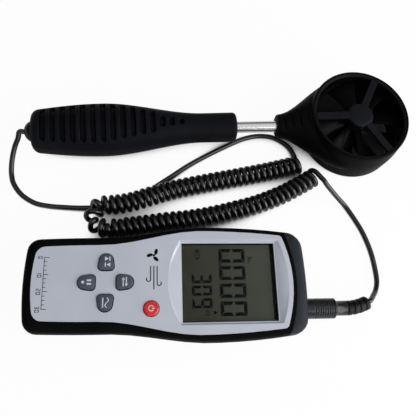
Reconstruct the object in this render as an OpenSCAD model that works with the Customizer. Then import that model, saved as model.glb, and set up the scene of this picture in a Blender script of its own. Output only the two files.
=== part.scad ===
// Vane anemometer: a hand-held meter and a vane probe, joined by a curly cord.
// The origin is at the middle of the meter's back face. +X runs to the meter's top end, +Z to its face.

/* [Meter case] */
// Length of the meter case
case_l = 169.2; // [162:0.2:180]
// Thickness of the case, from the back to the rim of the face
case_t = 33; // [32:0.5:38]
// Width of the case across the grip
grip_w = 57; // [55:0.5:62]
// Width of the case across the display
display_w = 69.5; // [68:0.5:76]
// Width of the case at its top end
top_w = 60; // [58:0.5:66]
// Height of the parting line above the back
parting_z = 22; // [21:0.5:23]
// Wall thickness of the case
wall = 2.2; // [1.8:0.1:2.6]
// Narrowing of the case towards its back, on each side
draft = 3.4; // [2:0.2:4]
// Gap at the seam of the end cap
seam_gap = 0.3; // [0.2:0.05:0.5]

/* [Face panel] */
// Dark border at the grip end
border_end = 5.6; // [5:0.2:8]
// Dark border beside the grip
border_grip = 6; // [5:0.2:7]
// Dark border beside the display
border_side = 3.6; // [3.2:0.2:5]
// Dark border beside the panel at the top end
border_corner = 2.4; // [2:0.2:4]
// Dark border at the top end
border_top = 9.8; // [9:0.2:11]
// Thickness of the panel
panel_t = 2.4; // [2.2:0.1:3]
// Height of the panel above the rim of the case
panel_rise = 0.2; // [0:0.1:0.6]
// Width of the ledge that the panel lies on
ledge_w = 2.2; // [1.8:0.1:2.6]
// Thickness of that ledge
ledge_t = 1.6; // [1.2:0.1:2]
// Depth of the dished surround of the display
dish = 1.5; // [0.8:0.1:1.8]

/* [Display] */
// Length of the display window
window_l = 57; // [52:0.5:58]
// Width of the display window
window_w = 47.6; // [44:0.4:48]
// Middle of the window from the top edge of the panel
window_x = 38.7; // [38:0.1:40]
// Margin of the lens under the panel
lens_margin = 0.6; // [0.4:0.1:1]
// Thickness of the lens
lens_t = 1.2; // [0.8:0.1:1.4]
// Thickness of the display glass
glass_t = 2.8; // [2:0.2:3]
// Thickness of the circuit board
board_t = 1.6; // [1:0.1:1.8]
// Height of the circuit board above the back
board_z = 22.2; // [21.8:0.1:22.6]

/* [Keys] */
// Length of a key, from its flat side to its tip
key_l = 10.2; // [9.4:0.2:12]
// Width of a key
key_w = 9.4; // [9:0.2:12]
// Middle of the group of keys from the middle of the window
keys_x = 72.9; // [71:0.1:76]
// Distance of the outer keys from that middle, along the case
key_step_x = 11; // [10.6:0.2:12]
// Distance of the outer keys from that middle, across the case
key_step_y = 12; // [11.4:0.2:12.4]
// Diameter of the power key
power_d = 9; // [8:0.2:10.4]
// Place of the power key along the case from the middle of the window
power_x = 46.6; // [46:0.1:48]
// Place of the power key across the case
power_y = -15.6; // [-16:0.2:-14]
// Height of the keys above the panel
key_rise = 1.3; // [1:0.1:2]
// Travel of a key
key_travel = 0.8; // [0.5:0.1:1]
// Gap round a key in the panel
key_gap = 0.35; // [0.3:0.05:0.6]
// Width of the flange that holds a key under the panel
key_flange = 0.9; // [0.6:0.1:1]

/* [Battery] */
// Length of the battery without its terminals
battery_l = 46; // [44:0.5:47]
// Width of the battery
battery_w = 26.2; // [25:0.2:26.6]
// Thickness of the battery
battery_t = 17; // [15:0.5:17.5]
// Width of the battery door's outer face
door_w = 27.4; // [27.2:0.2:29]
// Thickness of the battery door's outer face
door_t = 1.3; // [1:0.1:1.6]
// Length of the battery door
door_l = 62; // [60:0.5:63]
// Width and thickness of the tongue on each side of the door
door_tongue = 1.1; // [0.8:0.1:1.3]
// Sliding clearance of the door
door_gap = 0.3; // [0.2:0.05:0.4]

/* [Probe head] */
// Diameter of the vane head
head_d = 71.4; // [66:0.2:74]
// Thickness of the vane head
head_t = 31; // [30:0.5:34]
// Bore of the duct
duct_d = 65.4; // [60:0.2:67]
// Diameter of the guard's hub
hub_d = 18; // [16:0.5:22]
// Width of the guard's spokes
spoke_w = 4.8; // [3:0.1:5.5]
// Thickness of the guards
guard_t = 2.2; // [1.8:0.1:2.6]
// Radial width of the ring of a guard
guard_ring_w = 2.2; // [1.8:0.1:2.6]
// Tip clearance of the impeller in the duct
tip_gap = 0.9; // [0.6:0.1:1.5]
// Number of impeller blades
blades = 8; // [4:1:8]
// Chord of a blade
blade_chord = 26; // [12:0.5:26]
// Thickness of a blade
blade_t = 1; // [0.8:0.1:1.2]
// Height of the impeller
impeller_h = 12; // [10:0.5:13]
// Diameter of the impeller's hub
impeller_hub_d = 15; // [12:0.5:16]
// Diameter of the axle
axle_d = 1.6; // [1.2:0.1:2.4]
// Running clearance of the axle in its bearings, radial
axle_gap = 0.05; // [0.02:0.01:0.08]
// Outer diameter of a bearing
bearing_d = 4; // [3.6:0.1:5]
// Height of a bearing
bearing_h = 2.2; // [2:0.1:2.6]

/* [Probe tube and handle] */
// Diameter of the tube between the handle and the head
tube_d = 8; // [7:0.2:9]
// Wall thickness of the tube
tube_wall = 0.8; // [0.6:0.1:1.2]
// Visible length of the tube
tube_l = 29; // [20:1:40]
// Depth to which the tube goes into the handle and into the head
tube_seat = 10; // [8:0.5:11]
// Length of the neck of the head, from the duct's axis
neck_l = 58; // [56:0.5:62]
// Diameter of the neck where the tube enters it
neck_d = 16; // [14:0.5:18]
// Length of the handle
handle_l = 138; // [134:1:146]
// Greatest width of the handle
handle_w = 35.4; // [33:0.2:38]
// Greatest height of the handle, which is also twice the height of its axis
handle_h = 31; // [30:0.5:34]
// Width of the handle's butt
butt_w = 28; // [25:0.5:30]
// Diameter of the handle's waist
waist_d = 19.6; // [18:0.2:22]
// Diameter of the handle's nose
nose_d = 19.8; // [19:0.2:23]
// Pitch of the grip slots
slot_pitch = 6.5; // [6:0.1:6.8]
// Width of a grip slot
slot_w = 3.4; // [2:0.1:3.6]
// Depth of a grip slot
slot_depth = 1.8; // [0.8:0.1:2]
// Number of long grip slots
long_slots = 12; // [8:1:12]
// Number of short grip slots ahead of them
short_slots = 3; // [0:1:3]
// Radius of the hollow in the handle
hollow_r = 7; // [5:0.5:7.5]

/* [Where the probe lies] */
// Middle of the vane head along the meter's length
probe_x = 135.2; // [130:0.2:145]
// Middle of the vane head across the meter
probe_y = 117.4; // [116:0.2:122]
// Angle of the probe to the meter
probe_turn = 2.9; // [2:0.1:4]

/* [Cord and plug] */
// Diameter of the cord
cord_d = 3.5; // [3:0.1:3.5]
// Outer diameter of the curls
curl_d = 13.6; // [12.8:0.1:13.8]
// Pitch of the curls on a straight stretch
curl_pitch = 4.4; // [4.3:0.05:4.6]
// Diameter of the cord gland at the handle
gland_d = 13.4; // [12:0.2:16]
// Length of the gland outside the handle
gland_l = 4.5; // [4:0.5:7]
// Place of the plug across the meter
plug_y = -14.3; // [-15:0.1:-14]
// Height of the plug above the back
plug_z = 14.5; // [13.5:0.1:15]
// Diameter of the plug's grip
plug_d = 12.8; // [12:0.2:13.4]
// Length of the plug's grip
plug_l = 20.7; // [18:0.5:22]
// Diameter of the plug's neck and of the flexible relief
plug_neck_d = 9.4; // [8:0.1:9.8]
// Length of the plug's neck
plug_neck_l = 7; // [5:0.5:8]
// Diameter of the plug's pin
pin_d = 3.5; // [3:0.1:4]
// Length of the plug's pin
pin_l = 13; // [10:0.5:14]
// Radial clearance of the pin in the jack
pin_gap = 0.08; // [0.05:0.01:0.1]

/* [Fasteners] */
// Diameter of a screw's shank
screw_d = 2.4; // [2:0.1:2.8]
// Diameter of a screw's head
screw_head_d = 4.4; // [4:0.1:4.6]
// Height of a screw's head
screw_head_h = 1.8; // [1.4:0.1:2.2]
// Radius of a screw boss
boss_r = 2.6; // [2.4:0.1:2.7]
// Radius of a screw pillar
pillar_r = 3.5; // [3.4:0.1:3.6]
// Seat of the screw heads above the back
screw_seat = 13; // [11:0.5:14]
// Clearance of round pieces in their holes, radial
fit = 0.1; // [0.05:0.01:0.15]

/* [Hidden] */
$fn = 64;
far = 400;

// Shared functions
function lerp(a, b, t) = a + (b - a) * t;
function clamp(t) = min(max(t, 0), 1);
function ease(t) = let (c = clamp(t)) c * c * (3 - 2 * c);
function unit(v) = v / norm(v);
function mix(a, b, t) = [for (i = [0 : len(a) - 1]) lerp(a[i], b[i], t)];
function lift(points, z) = [for (p = points) [p.x, p.y, z]];
function last(v) = v[len(v) - 1];

// A smooth curve through a list of points
function knot(p, i) = i < 0 ? 2 * p[0] - p[1] : i >= len(p) ? 2 * last(p) - p[len(p) - 2] : p[i];
function curve_at(p, i, t) =
    let (a = knot(p, i - 1), b = p[i], c = knot(p, i + 1), d = knot(p, i + 2))
    0.5 * (2 * b + (c - a) * t + (2 * a - 5 * b + 4 * c - d) * t * t + (3 * b - a - 3 * c + d) * t * t * t);
function curve(p, steps) = concat(
    [for (i = [0 : len(p) - 2], k = [0 : steps - 1]) curve_at(p, i, k / steps)], [last(p)]);

// A closed skin over rings of points. The ends are flat, or strips across a thin, curved section
function strip(n, j, half) = half == 0 ? [j, j + 1, n - 2 - j] : [j, n - 2 - j, n - 1 - j];
module skin(rings, thin = false) {
    n = len(rings[0]);
    m = len(rings);
    sides = [for (k = [0 : m - 2], j = [0 : n - 1], half = [0, 1])
        let (a = k * n + j, b = k * n + (j + 1) % n, c = b + n, d = a + n) half == 0 ? [a, d, c] : [a, c, b]];
    bottom = thin ? [for (j = [0 : n / 2 - 2], half = [0, 1]) strip(n, j, half)]
        : [[for (j = [0 : n - 1]) j]];
    top = [for (face = bottom) [for (j = [len(face) - 1 : -1 : 0]) (m - 1) * n + face[j]]];
    polyhedron([for (r = rings, p = r) p], concat(sides, bottom, top), convexity = 10);
}

// Rings of a tube along a path: each needs the path's direction and a direction across it
function tube_ring(p, along, across, r, sides) =
    let (u = unit(across - (across * along) * along), v = cross(along, u))
    [for (j = [0 : sides - 1]) p + r * (cos(360 * j / sides) * u + sin(360 * j / sides) * v)];
function along_path(p, i) = unit(p[min(i + 1, len(p) - 1)] - p[max(i - 1, 0)]);
function path_rings(p, r, sides) = [for (i = [0 : len(p) - 1])
    tube_ring(p[i], along_path(p, i), [0, 0, 1], r, sides)];

// Outlines of the case and of its face panel
corner_steps = 5;
end_steps = 6;
side_steps = 14;
case_x0 = -case_l / 2;
case_x1 = case_l / 2;
panel_x0 = case_x0 + border_end;
panel_x1 = case_x1 - border_top;
swell = [-35.4, 24.6];
panel_swell = [-39.4, 18.6];
end_bulge = 1.2;
top_bulge = 0.6;
panel_end_bulge = 1.5;
panel_top_bulge = 4.7;
case_corners = [7.5, 10.5];
panel_corners = [6, 3];
grip_taper = 1.2;

function half_width(x, x0, x1, w, s) =
    x < s[0] ? w[0] - grip_taper * pow((s[0] - x) / (s[0] - x0), 2)
    : x < s[1] ? lerp(w[0], w[1], ease((x - s[0]) / (s[1] - s[0])))
    : lerp(w[1], w[2], pow((x - s[1]) / (x1 - s[1]), 2));

// Upper half of an outline, from the top end to the grip end
function half_outline(x0, x1, w, bulge, r, s) =
    let (x0c = x0 + bulge[0] + r[0], x1c = x1 - bulge[1] - r[1],
        y0 = half_width(x0c, x0, x1, w, s) - r[0], y1 = half_width(x1c, x0, x1, w, s) - r[1],
        lean0 = atan(2 * bulge[0] / y0), lean1 = atan(2 * bulge[1] / y1),
        e0 = y0 + r[0] * sin(lean0), e1 = y1 + r[1] * sin(lean1),
        c0 = x0 + bulge[0] + r[0] * cos(lean0), c1 = x1 - bulge[1] - r[1] * cos(lean1))
    concat(
        [for (i = [0 : end_steps - 1]) let (t = i / end_steps) [x1 - bulge[1] * t * t, e1 * t]],
        [for (i = [0 : corner_steps]) let (a = lerp(lean1, 90, i / corner_steps))
            [c1 + r[1] * cos(a), y1 + r[1] * sin(a)]],
        [for (i = [1 : side_steps - 1])
            let (x = lerp(c1, c0, i / side_steps)) [x, half_width(x, x0, x1, w, s)]],
        [for (i = [0 : corner_steps]) let (a = lerp(90, 180 - lean0, i / corner_steps))
            [c0 + r[0] * cos(a), y0 + r[0] * sin(a)]],
        [for (i = [end_steps - 1 : -1 : 0]) let (t = i / end_steps) [x0 + bulge[0] * t * t, e0 * t]]);
function outline(x0, x1, w, bulge, r, s) =
    let (h = half_outline(x0, x1, w, bulge, r, s))
    concat(h, [for (i = [len(h) - 2 : -1 : 1]) [h[i].x, -h[i].y]]);
function inset_corners(r, i) = [for (c = r) max(c - i, 0.8)];

case_half = [grip_w / 2, display_w / 2, top_w / 2];
panel_half = [grip_w / 2 - border_grip, display_w / 2 - border_side, top_w / 2 - border_corner];
function case_ring(i) = outline(case_x0 + i, case_x1 - i, [for (w = case_half) w - i], [end_bulge, top_bulge],
    inset_corners(case_corners, i), swell);
function panel_ring(i) = outline(panel_x0 + i, panel_x1 - i, [for (w = panel_half) w - i],
    [panel_end_bulge, panel_top_bulge], inset_corners(panel_corners, i), panel_swell);

// Levels of the case: height, inset and share of the way from the case's outline to the panel's
back_round = 1.8;
shoulder_h = 3;
shoulder_z = parting_z + shoulder_h;
shoulder_power = 0.75;
case_levels = concat(
    [[0, draft + back_round, 0], [back_round / 3, draft + back_round * 0.4, 0], [back_round, draft, 0]],
    [[parting_z, 0, 0], [shoulder_z, 0, 0]],
    [for (a = [18, 36, 54, 72, 90])
        [lerp(shoulder_z, case_t, pow(sin(a), shoulder_power)), 0, 1 - pow(max(cos(a), 0), shoulder_power)]]);
panel_z = case_t + panel_rise - panel_t;
ledge_z = panel_z - ledge_t;
floor_inset = 0.6;
ledge_inset = 1.2;
cavity_levels = [[wall, draft + wall + floor_inset], [parting_z, wall], [shoulder_z, wall],
    [ledge_z, wall + ledge_inset]];

module case_body() {
    skin([for (v = case_levels) lift(mix(case_ring(v[1]), panel_ring(0), v[2]), v[0])]);
}

module case_cavity() {
    skin([for (v = cavity_levels) lift(case_ring(v[1]), v[0])]);
}

// The zone of the end cap lies beyond an arc that follows the panel's top edge
seam_offset = 2;
seam_r = (pow(panel_half[2], 2) + pow(panel_top_bulge, 2)) / (2 * panel_top_bulge) + seam_offset;
seam_x = panel_x1 + seam_offset;
module cap_zone(gap) {
    difference() {
        translate([0, -far / 2, -1]) cube([far / 2, far, case_t + 2]);
        translate([seam_x - seam_r, 0, -2]) cylinder(r = seam_r + gap, h = case_t + 4);
    }
}

// Pillars and bosses of the case screws
board_top = board_z + board_t;
window_mid = panel_x1 - window_x;
window_x1 = window_mid + window_l / 2;
boss_back = 54.5;
boss_x = window_mid - boss_back;
boss_sink = 0.4;
boss_y = half_width(boss_x, panel_x0, panel_x1, panel_half, panel_swell) - ledge_w - boss_r + boss_sink;
top_boss_x = window_x1 + lens_margin + boss_r + boss_sink;
top_boss_y = window_w / 2 - boss_sink / 2;
bosses = [for (s = [-1, 1]) each [[boss_x, s * boss_y], [top_boss_x, s * top_boss_y]]];
screw_cover = 1.2;
screw_play = 0.3;
screw_tip_z = panel_z - screw_cover;

module at_bosses() {
    for (p = bosses) translate([p.x, p.y, 0]) children();
}

// Battery and its door
battery_margin = 5.2;
battery_x = case_x0 + draft + wall + battery_margin;
door_x1 = case_x0 + draft + door_l;
tongue_z = door_t + door_tongue;
battery_z = tongue_z + door_gap;
terminal_y = 6.4;
terminal_r = 3;
terminal_l = 2.8;
rib_t = 1.4;
rib_h = 12;
rib_y = door_w / 2 + door_tongue + 2 * door_gap + rib_t / 2;
module door_profile(gap) {
    x0 = case_x0 - wall;
    l = door_x1 + gap - x0;
    translate([x0, -door_w / 2 - gap, -wall])
        cube([l, door_w + 2 * gap, tongue_z + gap + wall]);
    translate([x0, -door_w / 2 - door_tongue - gap, door_t - gap])
        cube([l, door_w + 2 * (door_tongue + gap), door_tongue + 2 * gap]);
}

// Meter
module rear_cover() color([0.16, 0.17, 0.18]) difference() {
    union() {
        difference() {
            intersection() {
                case_body();
                translate([-far / 2, -far / 2, -1]) cube([far, far, parting_z + 1]);
            }
            case_cavity();
        }
        at_bosses() translate([0, 0, wall / 2]) cylinder(r = pillar_r, h = board_z - wall / 2);
        for (s = [-1, 1])
            translate([battery_x, s * rib_y - rib_t / 2, wall / 2])
                cube([battery_l, rib_t, rib_h]);
    }
    cap_zone(0);
    door_profile(door_gap);
    at_bosses() {
        translate([0, 0, -1]) cylinder(r = screw_head_d / 2 + screw_play, h = screw_seat + 1);
        cylinder(r = screw_d / 2 + fit, h = case_t);
    }
}

module front_bezel() color([0.13, 0.14, 0.15]) difference() {
    union() {
        difference() {
            intersection() {
                case_body();
                translate([-far / 2, -far / 2, parting_z]) cube([far, far, case_t]);
            }
            case_cavity();
            translate([0, 0, ledge_z - 1]) linear_extrude(case_t) polygon(panel_ring(ledge_w));
        }
        at_bosses() translate([0, 0, board_top]) cylinder(r = boss_r, h = panel_z - board_top);
    }
    cap_zone(0);
    translate([0, 0, panel_z]) linear_extrude(case_t) polygon(panel_ring(0));
    at_bosses() cylinder(r = screw_d / 2 + fit, h = screw_tip_z + screw_play);
}

module end_cap() color([0.22, 0.23, 0.24]) difference() {
    intersection() {
        case_body();
        cap_zone(seam_gap);
    }
    case_cavity();
    on_plug_axis(case_x1 - 2 * wall - draft) cylinder(r = jack_nose_r + fit, h = 3 * wall + draft);
}

// Outline of a key: a rounded shield with its flat side towards -X
key_corner_r = 2.4;
key_tip_r = 4.2;
key_corner = [-key_l / 2 + key_corner_r, key_w / 2 - key_corner_r];
key_tip = [key_l / 2 - key_tip_r, 0];
key_slant = key_tip - key_corner;
key_lean = atan2(key_slant.y, key_slant.x) + acos((key_corner_r - key_tip_r) / norm(key_slant));
function arc(c, r, a0, a1, steps) = [for (i = [0 : steps])
    let (a = lerp(a0, a1, i / steps)) c + r * [cos(a), sin(a)]];
function shield(grow) = concat(arc(key_tip, key_tip_r + grow, -key_lean, key_lean, 9),
    arc(key_corner, key_corner_r + grow, key_lean, 180, 5),
    arc([key_corner.x, -key_corner.y], key_corner_r + grow, 180, 360 - key_lean, 5));
keys_mid = window_mid - keys_x;
power_mid = window_mid - power_x;
function key_place(angle) = [keys_mid + key_step_x * cos(angle), key_step_y * sin(angle), 0];
module at_key(angle) {
    translate(key_place(angle)) rotate([0, 0, angle]) children();
}

// The dished surround of the display: curved ends, and a straight chamfer on each side
dish_side = 1.6;
dish_end = 7.5;
dish_top = 5;
dish_top_rim = 2.5;
dish_end_rim = 1;
dish_floor = 0.5;
dish_steps = 8;
function dish_outline(y) = concat(
    [for (i = [-dish_steps : dish_steps]) let (t = i / dish_steps)
        [window_x1 + dish_top_rim + dish_top * (1 - t * t), y * t]],
    [for (i = [dish_steps : -1 : -dish_steps]) let (t = i / dish_steps)
        [window_mid - window_l / 2 - dish_end_rim - dish_end * (1 - t * t), y * t]]);

module face_panel() color([0.72, 0.73, 0.74]) difference() {
    translate([0, 0, panel_z]) linear_extrude(panel_t) polygon(panel_ring(fit));
    hull() {
        translate([0, 0, panel_z + panel_t + 0.01]) linear_extrude(0.1)
            polygon(dish_outline(window_w / 2 + dish_side));
        translate([window_mid, 0, panel_z + panel_t - dish]) linear_extrude(0.1)
            square([window_l + 2 * dish_floor, window_w + 2 * dish_floor], center = true);
    }
    translate([window_mid, 0, panel_z]) cube([window_l, window_w, far], center = true);
    for (a = [0 : 90 : 270])
        at_key(a) translate([0, 0, panel_z - 1]) linear_extrude(panel_t + 2) polygon(shield(key_gap));
    translate([power_mid, power_y, panel_z - 1]) cylinder(r = power_d / 2 + key_gap, h = panel_t + 2);
}

module window_block(z0, z1, margin) {
    translate([window_mid - window_l / 2 - margin, -window_w / 2 - margin, z0])
        cube([window_l + 2 * margin, window_w + 2 * margin, z1 - z0]);
}
lens_z = panel_z - lens_t;
glass_z = lens_z - glass_t;

module display_lens() color([0.6, 0.66, 0.6, 0.5]) window_block(lens_z, panel_z, lens_margin);

module lcd_module() color([0.62, 0.68, 0.6]) window_block(glass_z, lens_z, lens_margin);

guide_inset = 1;
module light_guide() color([0.85, 0.86, 0.84]) window_block(board_top, glass_z, -guide_inset);

board_play = 1.4;
module main_board() color([0.1, 0.35, 0.18]) difference() {
    translate([0, 0, board_z]) linear_extrude(board_t) intersection() {
        polygon(case_ring(wall + board_play));
        translate([case_x0, -far / 2]) square([seam_x - seam_offset - case_x0, far]);
    }
    at_bosses() cylinder(r = screw_d / 2 + 2 * fit, h = case_t);
}

// Keys: a stem with a flange below the panel, and a crown with a chamfer
flange_t = 1;
flange_play = 0.1;
flange_z = panel_z - flange_play;
stem_l = 3.4;
stem_z = panel_z - stem_l;
stem_r = 2;
crown = 0.8;
key_top = panel_z + panel_t + key_rise;
plunger_r = 1.7;
plunger_z = stem_z - key_travel - flange_play;

module arrow_key() color([0.27, 0.29, 0.32]) {
    translate([0, 0, stem_z]) cylinder(r = stem_r, h = panel_z - stem_z);
    skin([lift(shield(key_flange), flange_z - flange_t), lift(shield(key_flange), flange_z),
        lift(shield(0), flange_z), lift(shield(0), key_top - crown),
        lift(shield(-crown * 0.35), key_top - crown * 0.3), lift(shield(-crown), key_top)]);
}

module unit_key() at_key(0) arrow_key();

module max_min_key() at_key(90) arrow_key();

module hold_key() at_key(180) arrow_key();

module average_key() at_key(270) arrow_key();

module power_key() color([0.72, 0.1, 0.08]) translate([power_mid, power_y, 0])
    rotate_extrude() polygon([
    [0, stem_z], [stem_r, stem_z], [stem_r, flange_z - flange_t],
    [power_d / 2 + key_flange, flange_z - flange_t], [power_d / 2 + key_flange, flange_z],
    [power_d / 2, flange_z], [power_d / 2, key_top - crown], [power_d / 2 - crown, key_top - crown / 8],
    [0, key_top + crown / 4]]);

switch_side = 6;
switch_h = 1.7;
switch_places = concat([for (a = [0 : 90 : 270]) key_place(a)], [[power_mid, power_y, 0]]);
module key_switches() color([0.2, 0.2, 0.2]) for (p = switch_places) translate([p.x, p.y, board_top]) {
    translate([-switch_side / 2, -switch_side / 2, 0]) cube([switch_side, switch_side, switch_h]);
    cylinder(r = plunger_r, h = plunger_z - board_top);
}

jack_nose_r = 3.6;
jack_side = 10.6;
jack_l = 13;
jack_x0 = case_x1 - wall - draft - jack_l;
module on_plug_axis(x) {
    translate([x, plug_y, plug_z]) rotate([0, 90, 0]) children();
}
module probe_jack() color([0.1, 0.1, 0.11]) difference() {
    union() {
        translate([jack_x0, plug_y - jack_side / 2, plug_z - jack_side / 2])
            cube([jack_l, jack_side, jack_side]);
        on_plug_axis(jack_x0 + jack_l / 2) cylinder(r = jack_nose_r, h = case_x1 - jack_x0 - jack_l / 2);
    }
    on_plug_axis(case_x1 - pin_l - 1) cylinder(r = pin_d / 2 + pin_gap, h = pin_l + 2);
}

module battery() color([0.25, 0.27, 0.3]) {
    translate([battery_x, -battery_w / 2, battery_z]) cube([battery_l, battery_w, battery_t]);
    for (s = [-1, 1]) translate([battery_x + battery_l, s * terminal_y, battery_z + battery_t / 2])
        rotate([0, 90, 0]) cylinder(r = terminal_r, h = terminal_l);
}

snap_inset = 1;
module battery_snap() color([0.12, 0.12, 0.12]) difference() {
    translate([battery_x + battery_l, -battery_w / 2, battery_z + snap_inset])
        cube([terminal_l + snap_inset, battery_w, battery_t - 2 * snap_inset]);
    for (s = [-1, 1]) translate([battery_x + battery_l - 1, s * terminal_y, battery_z + battery_t / 2])
        rotate([0, 90, 0]) cylinder(r = terminal_r + fit, h = terminal_l + 1 + fit);
}

grip_lines = 5;
grip_line_first = 8;
grip_line_pitch = 3;
grip_line_w = 1.2;
module battery_door() color([0.17, 0.18, 0.19]) difference() {
    intersection() {
        case_body();
        translate([0, 0, door_t / 12]) door_profile(0);
    }
    for (i = [0 : grip_lines - 1])
        translate([case_x0 + draft + grip_line_first + grip_line_pitch * i, 0, 0])
            cube([grip_line_w, door_w * 0.6, door_t], center = true);
}

module case_screws() color([0.6, 0.61, 0.62]) at_bosses() {
    translate([0, 0, screw_seat - screw_head_h]) cylinder(r = screw_head_d / 2, h = screw_head_h);
    translate([0, 0, screw_seat - screw_head_h / 2])
        cylinder(r = screw_d / 2, h = screw_tip_z - screw_seat + screw_head_h / 2);
}

// Probe: its own frame has the duct's axis as Z and the handle along -X
module at_probe() {
    translate([probe_x, probe_y, head_t / 2]) rotate([0, 0, probe_turn]) children();
}
function on_probe(p) = [probe_x + p.x * cos(probe_turn) - p.y * sin(probe_turn),
    probe_y + p.x * sin(probe_turn) + p.y * cos(probe_turn), head_t / 2 + p.z];
head_r = head_d / 2;
duct_r = duct_d / 2;
nose_x = -neck_l - tube_l;
butt_x = nose_x - handle_l;
guard_step = 1.2;
guard_sink = 0.8;
guard_seat_r = duct_r + guard_step;
guard_z = head_t / 2 - guard_sink - guard_t;
module along_x(x) {
    translate([x, 0, 0]) rotate([0, 90, 0]) children();
}

// Half a section of the handle or neck, which slots across it can dent
section_steps = 12;
section_power = 0.88;
function bend(v) = sign(v) * pow(abs(v), section_power);
function half_section(x, w, h, side, dent, reach) = concat(
    [for (i = [0 : section_steps])
        let (a = 180 * i / section_steps, y = w * bend(cos(a)), z = h * bend(sin(a)),
            depth = dent * ease((reach - abs(y)) / (slot_w * 0.6)), r = max(norm([y, z]), 0.01))
        [x, side * y * (1 - depth / r), side * z * (1 - depth / r)]]);

// The handle's half width at a distance u from its butt, for given butt, belly, waist and nose sizes
belly_u = 48;
waist_u = 114;
butt_round = 5;
nose_round = 2.5;
function rounded_end(u, r) = u >= r ? 0 : r - sqrt(max(r * r - (r - u) * (r - u), 0));
function handle_half(u, butt, belly, waist, nose) =
    (u < belly_u ? lerp(butt, belly, sin(90 * u / belly_u))
    : u < waist_u ? lerp(belly, waist, ease((u - belly_u) / (waist_u - belly_u)))
    : lerp(waist, nose, ease((u - waist_u) / (handle_l - nose_round - waist_u)))) / 2
    - rounded_end(u, butt_round) - rounded_end(handle_l - u, nose_round);
function handle_width(u) = handle_half(u, butt_w, handle_w, waist_d, nose_d);
butt_drop = 4;
function handle_height(u) = handle_half(u, butt_w - butt_drop, handle_h, waist_d, nose_d);

// Slots of the handle: distance from the butt and half length
first_slot_u = 8.4;
slot_edge = 0.3;
slot_margins = [3.2, 6];
slot_fade = [44, 78];
short_slot_l = 4.2;
short_slot_step = 1.1;
slots = concat(
    [for (i = [0 : long_slots - 1]) let (u = first_slot_u + i * slot_pitch)
        [u, handle_width(u) - lerp(slot_margins[0], slot_margins[1],
            clamp((u - slot_fade[0]) / (slot_fade[1] - slot_fade[0])))]],
    [for (i = [0 : short_slots - 1])
        [first_slot_u + (long_slots + i) * slot_pitch, short_slot_l - short_slot_step * i]]);
slots_end = first_slot_u + (long_slots + short_slots) * slot_pitch;

// Stations along the handle: distance from the butt, depth of the slot there and its half length
handle_stations = concat(
    [for (t = [0, 0.2, 0.5, 1]) [t * butt_round, 0, 1]],
    [for (s = slots) each [
        [s[0] - slot_w / 2 - slot_edge, 0, s[1]], [s[0] - slot_w / 2 + slot_edge, slot_depth, s[1]],
        [s[0] + slot_w / 2 - slot_edge, slot_depth, s[1]], [s[0] + slot_w / 2 + slot_edge, 0, s[1]]]],
    [for (i = [1 : 4]) [lerp(slots_end, handle_l - nose_round, i / 4), 0, 1]],
    [for (t = [0.5, 0.85, 1]) [handle_l - nose_round * (1 - t), 0, 1]]);

// Handle screws: two, on either side of the hollow, from the underside
handle_screw_wall = 0.8;
handle_screw_u = [22, 70];
handle_screw_y = hollow_r + screw_head_d / 2 + handle_screw_wall;
handle_screws_at = [
    [butt_x + handle_screw_u[0], handle_screw_y],
    [butt_x + handle_screw_u[1], -handle_screw_y]];
hollow_u = [4.2, 98];
handle_screw_seat = -7;
handle_screw_tip = 5;
module handle_half_shell(side) {
    difference() {
        skin([for (v = handle_stations)
            half_section(butt_x + v[0], handle_width(v[0]), handle_height(v[0]), side, v[1], v[2])]);
        along_x(butt_x + hollow_u[0]) cylinder(r = hollow_r, h = hollow_u[1] - hollow_u[0]);
        along_x(butt_x + wall) cylinder(r = inner_lead_r + fit, h = handle_l);
        along_x(nose_x - tube_seat) cylinder(r = tube_d / 2 + fit, h = far);
        along_x(butt_x - 1) cylinder(r = gland_stem_r + fit, h = gland_stem_l + 2);
        for (p = handle_screws_at) translate([p.x, p.y, handle_screw_seat - 1])
            cylinder(r = screw_d / 2 + fit, h = handle_screw_tip - handle_screw_seat + 1 + screw_play);
    }
}

module handle_upper() color([0.14, 0.15, 0.16]) at_probe() handle_half_shell(1);

module handle_lower() color([0.13, 0.14, 0.15]) at_probe() difference() {
    handle_half_shell(-1);
    for (p = handle_screws_at) translate([p.x, p.y, -head_t])
        cylinder(r = screw_head_d / 2 + screw_play, h = head_t + handle_screw_seat);
}

module handle_screws() color([0.6, 0.61, 0.62]) at_probe() for (p = handle_screws_at) {
    translate([p.x, p.y, handle_screw_seat - screw_head_h])
        cylinder(r = screw_head_d / 2, h = screw_head_h);
    translate([p.x, p.y, handle_screw_seat - screw_head_h / 2])
        cylinder(r = screw_d / 2, h = handle_screw_tip - handle_screw_seat + screw_head_h / 2);
}

module probe_tube() color([0.78, 0.79, 0.8]) at_probe() difference() {
    along_x(nose_x - tube_seat) cylinder(d = tube_d, h = tube_l + 2 * tube_seat);
    along_x(nose_x - tube_seat - 1) cylinder(d = tube_d - 2 * tube_wall, h = tube_l + 2 * tube_seat + 2);
}

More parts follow.
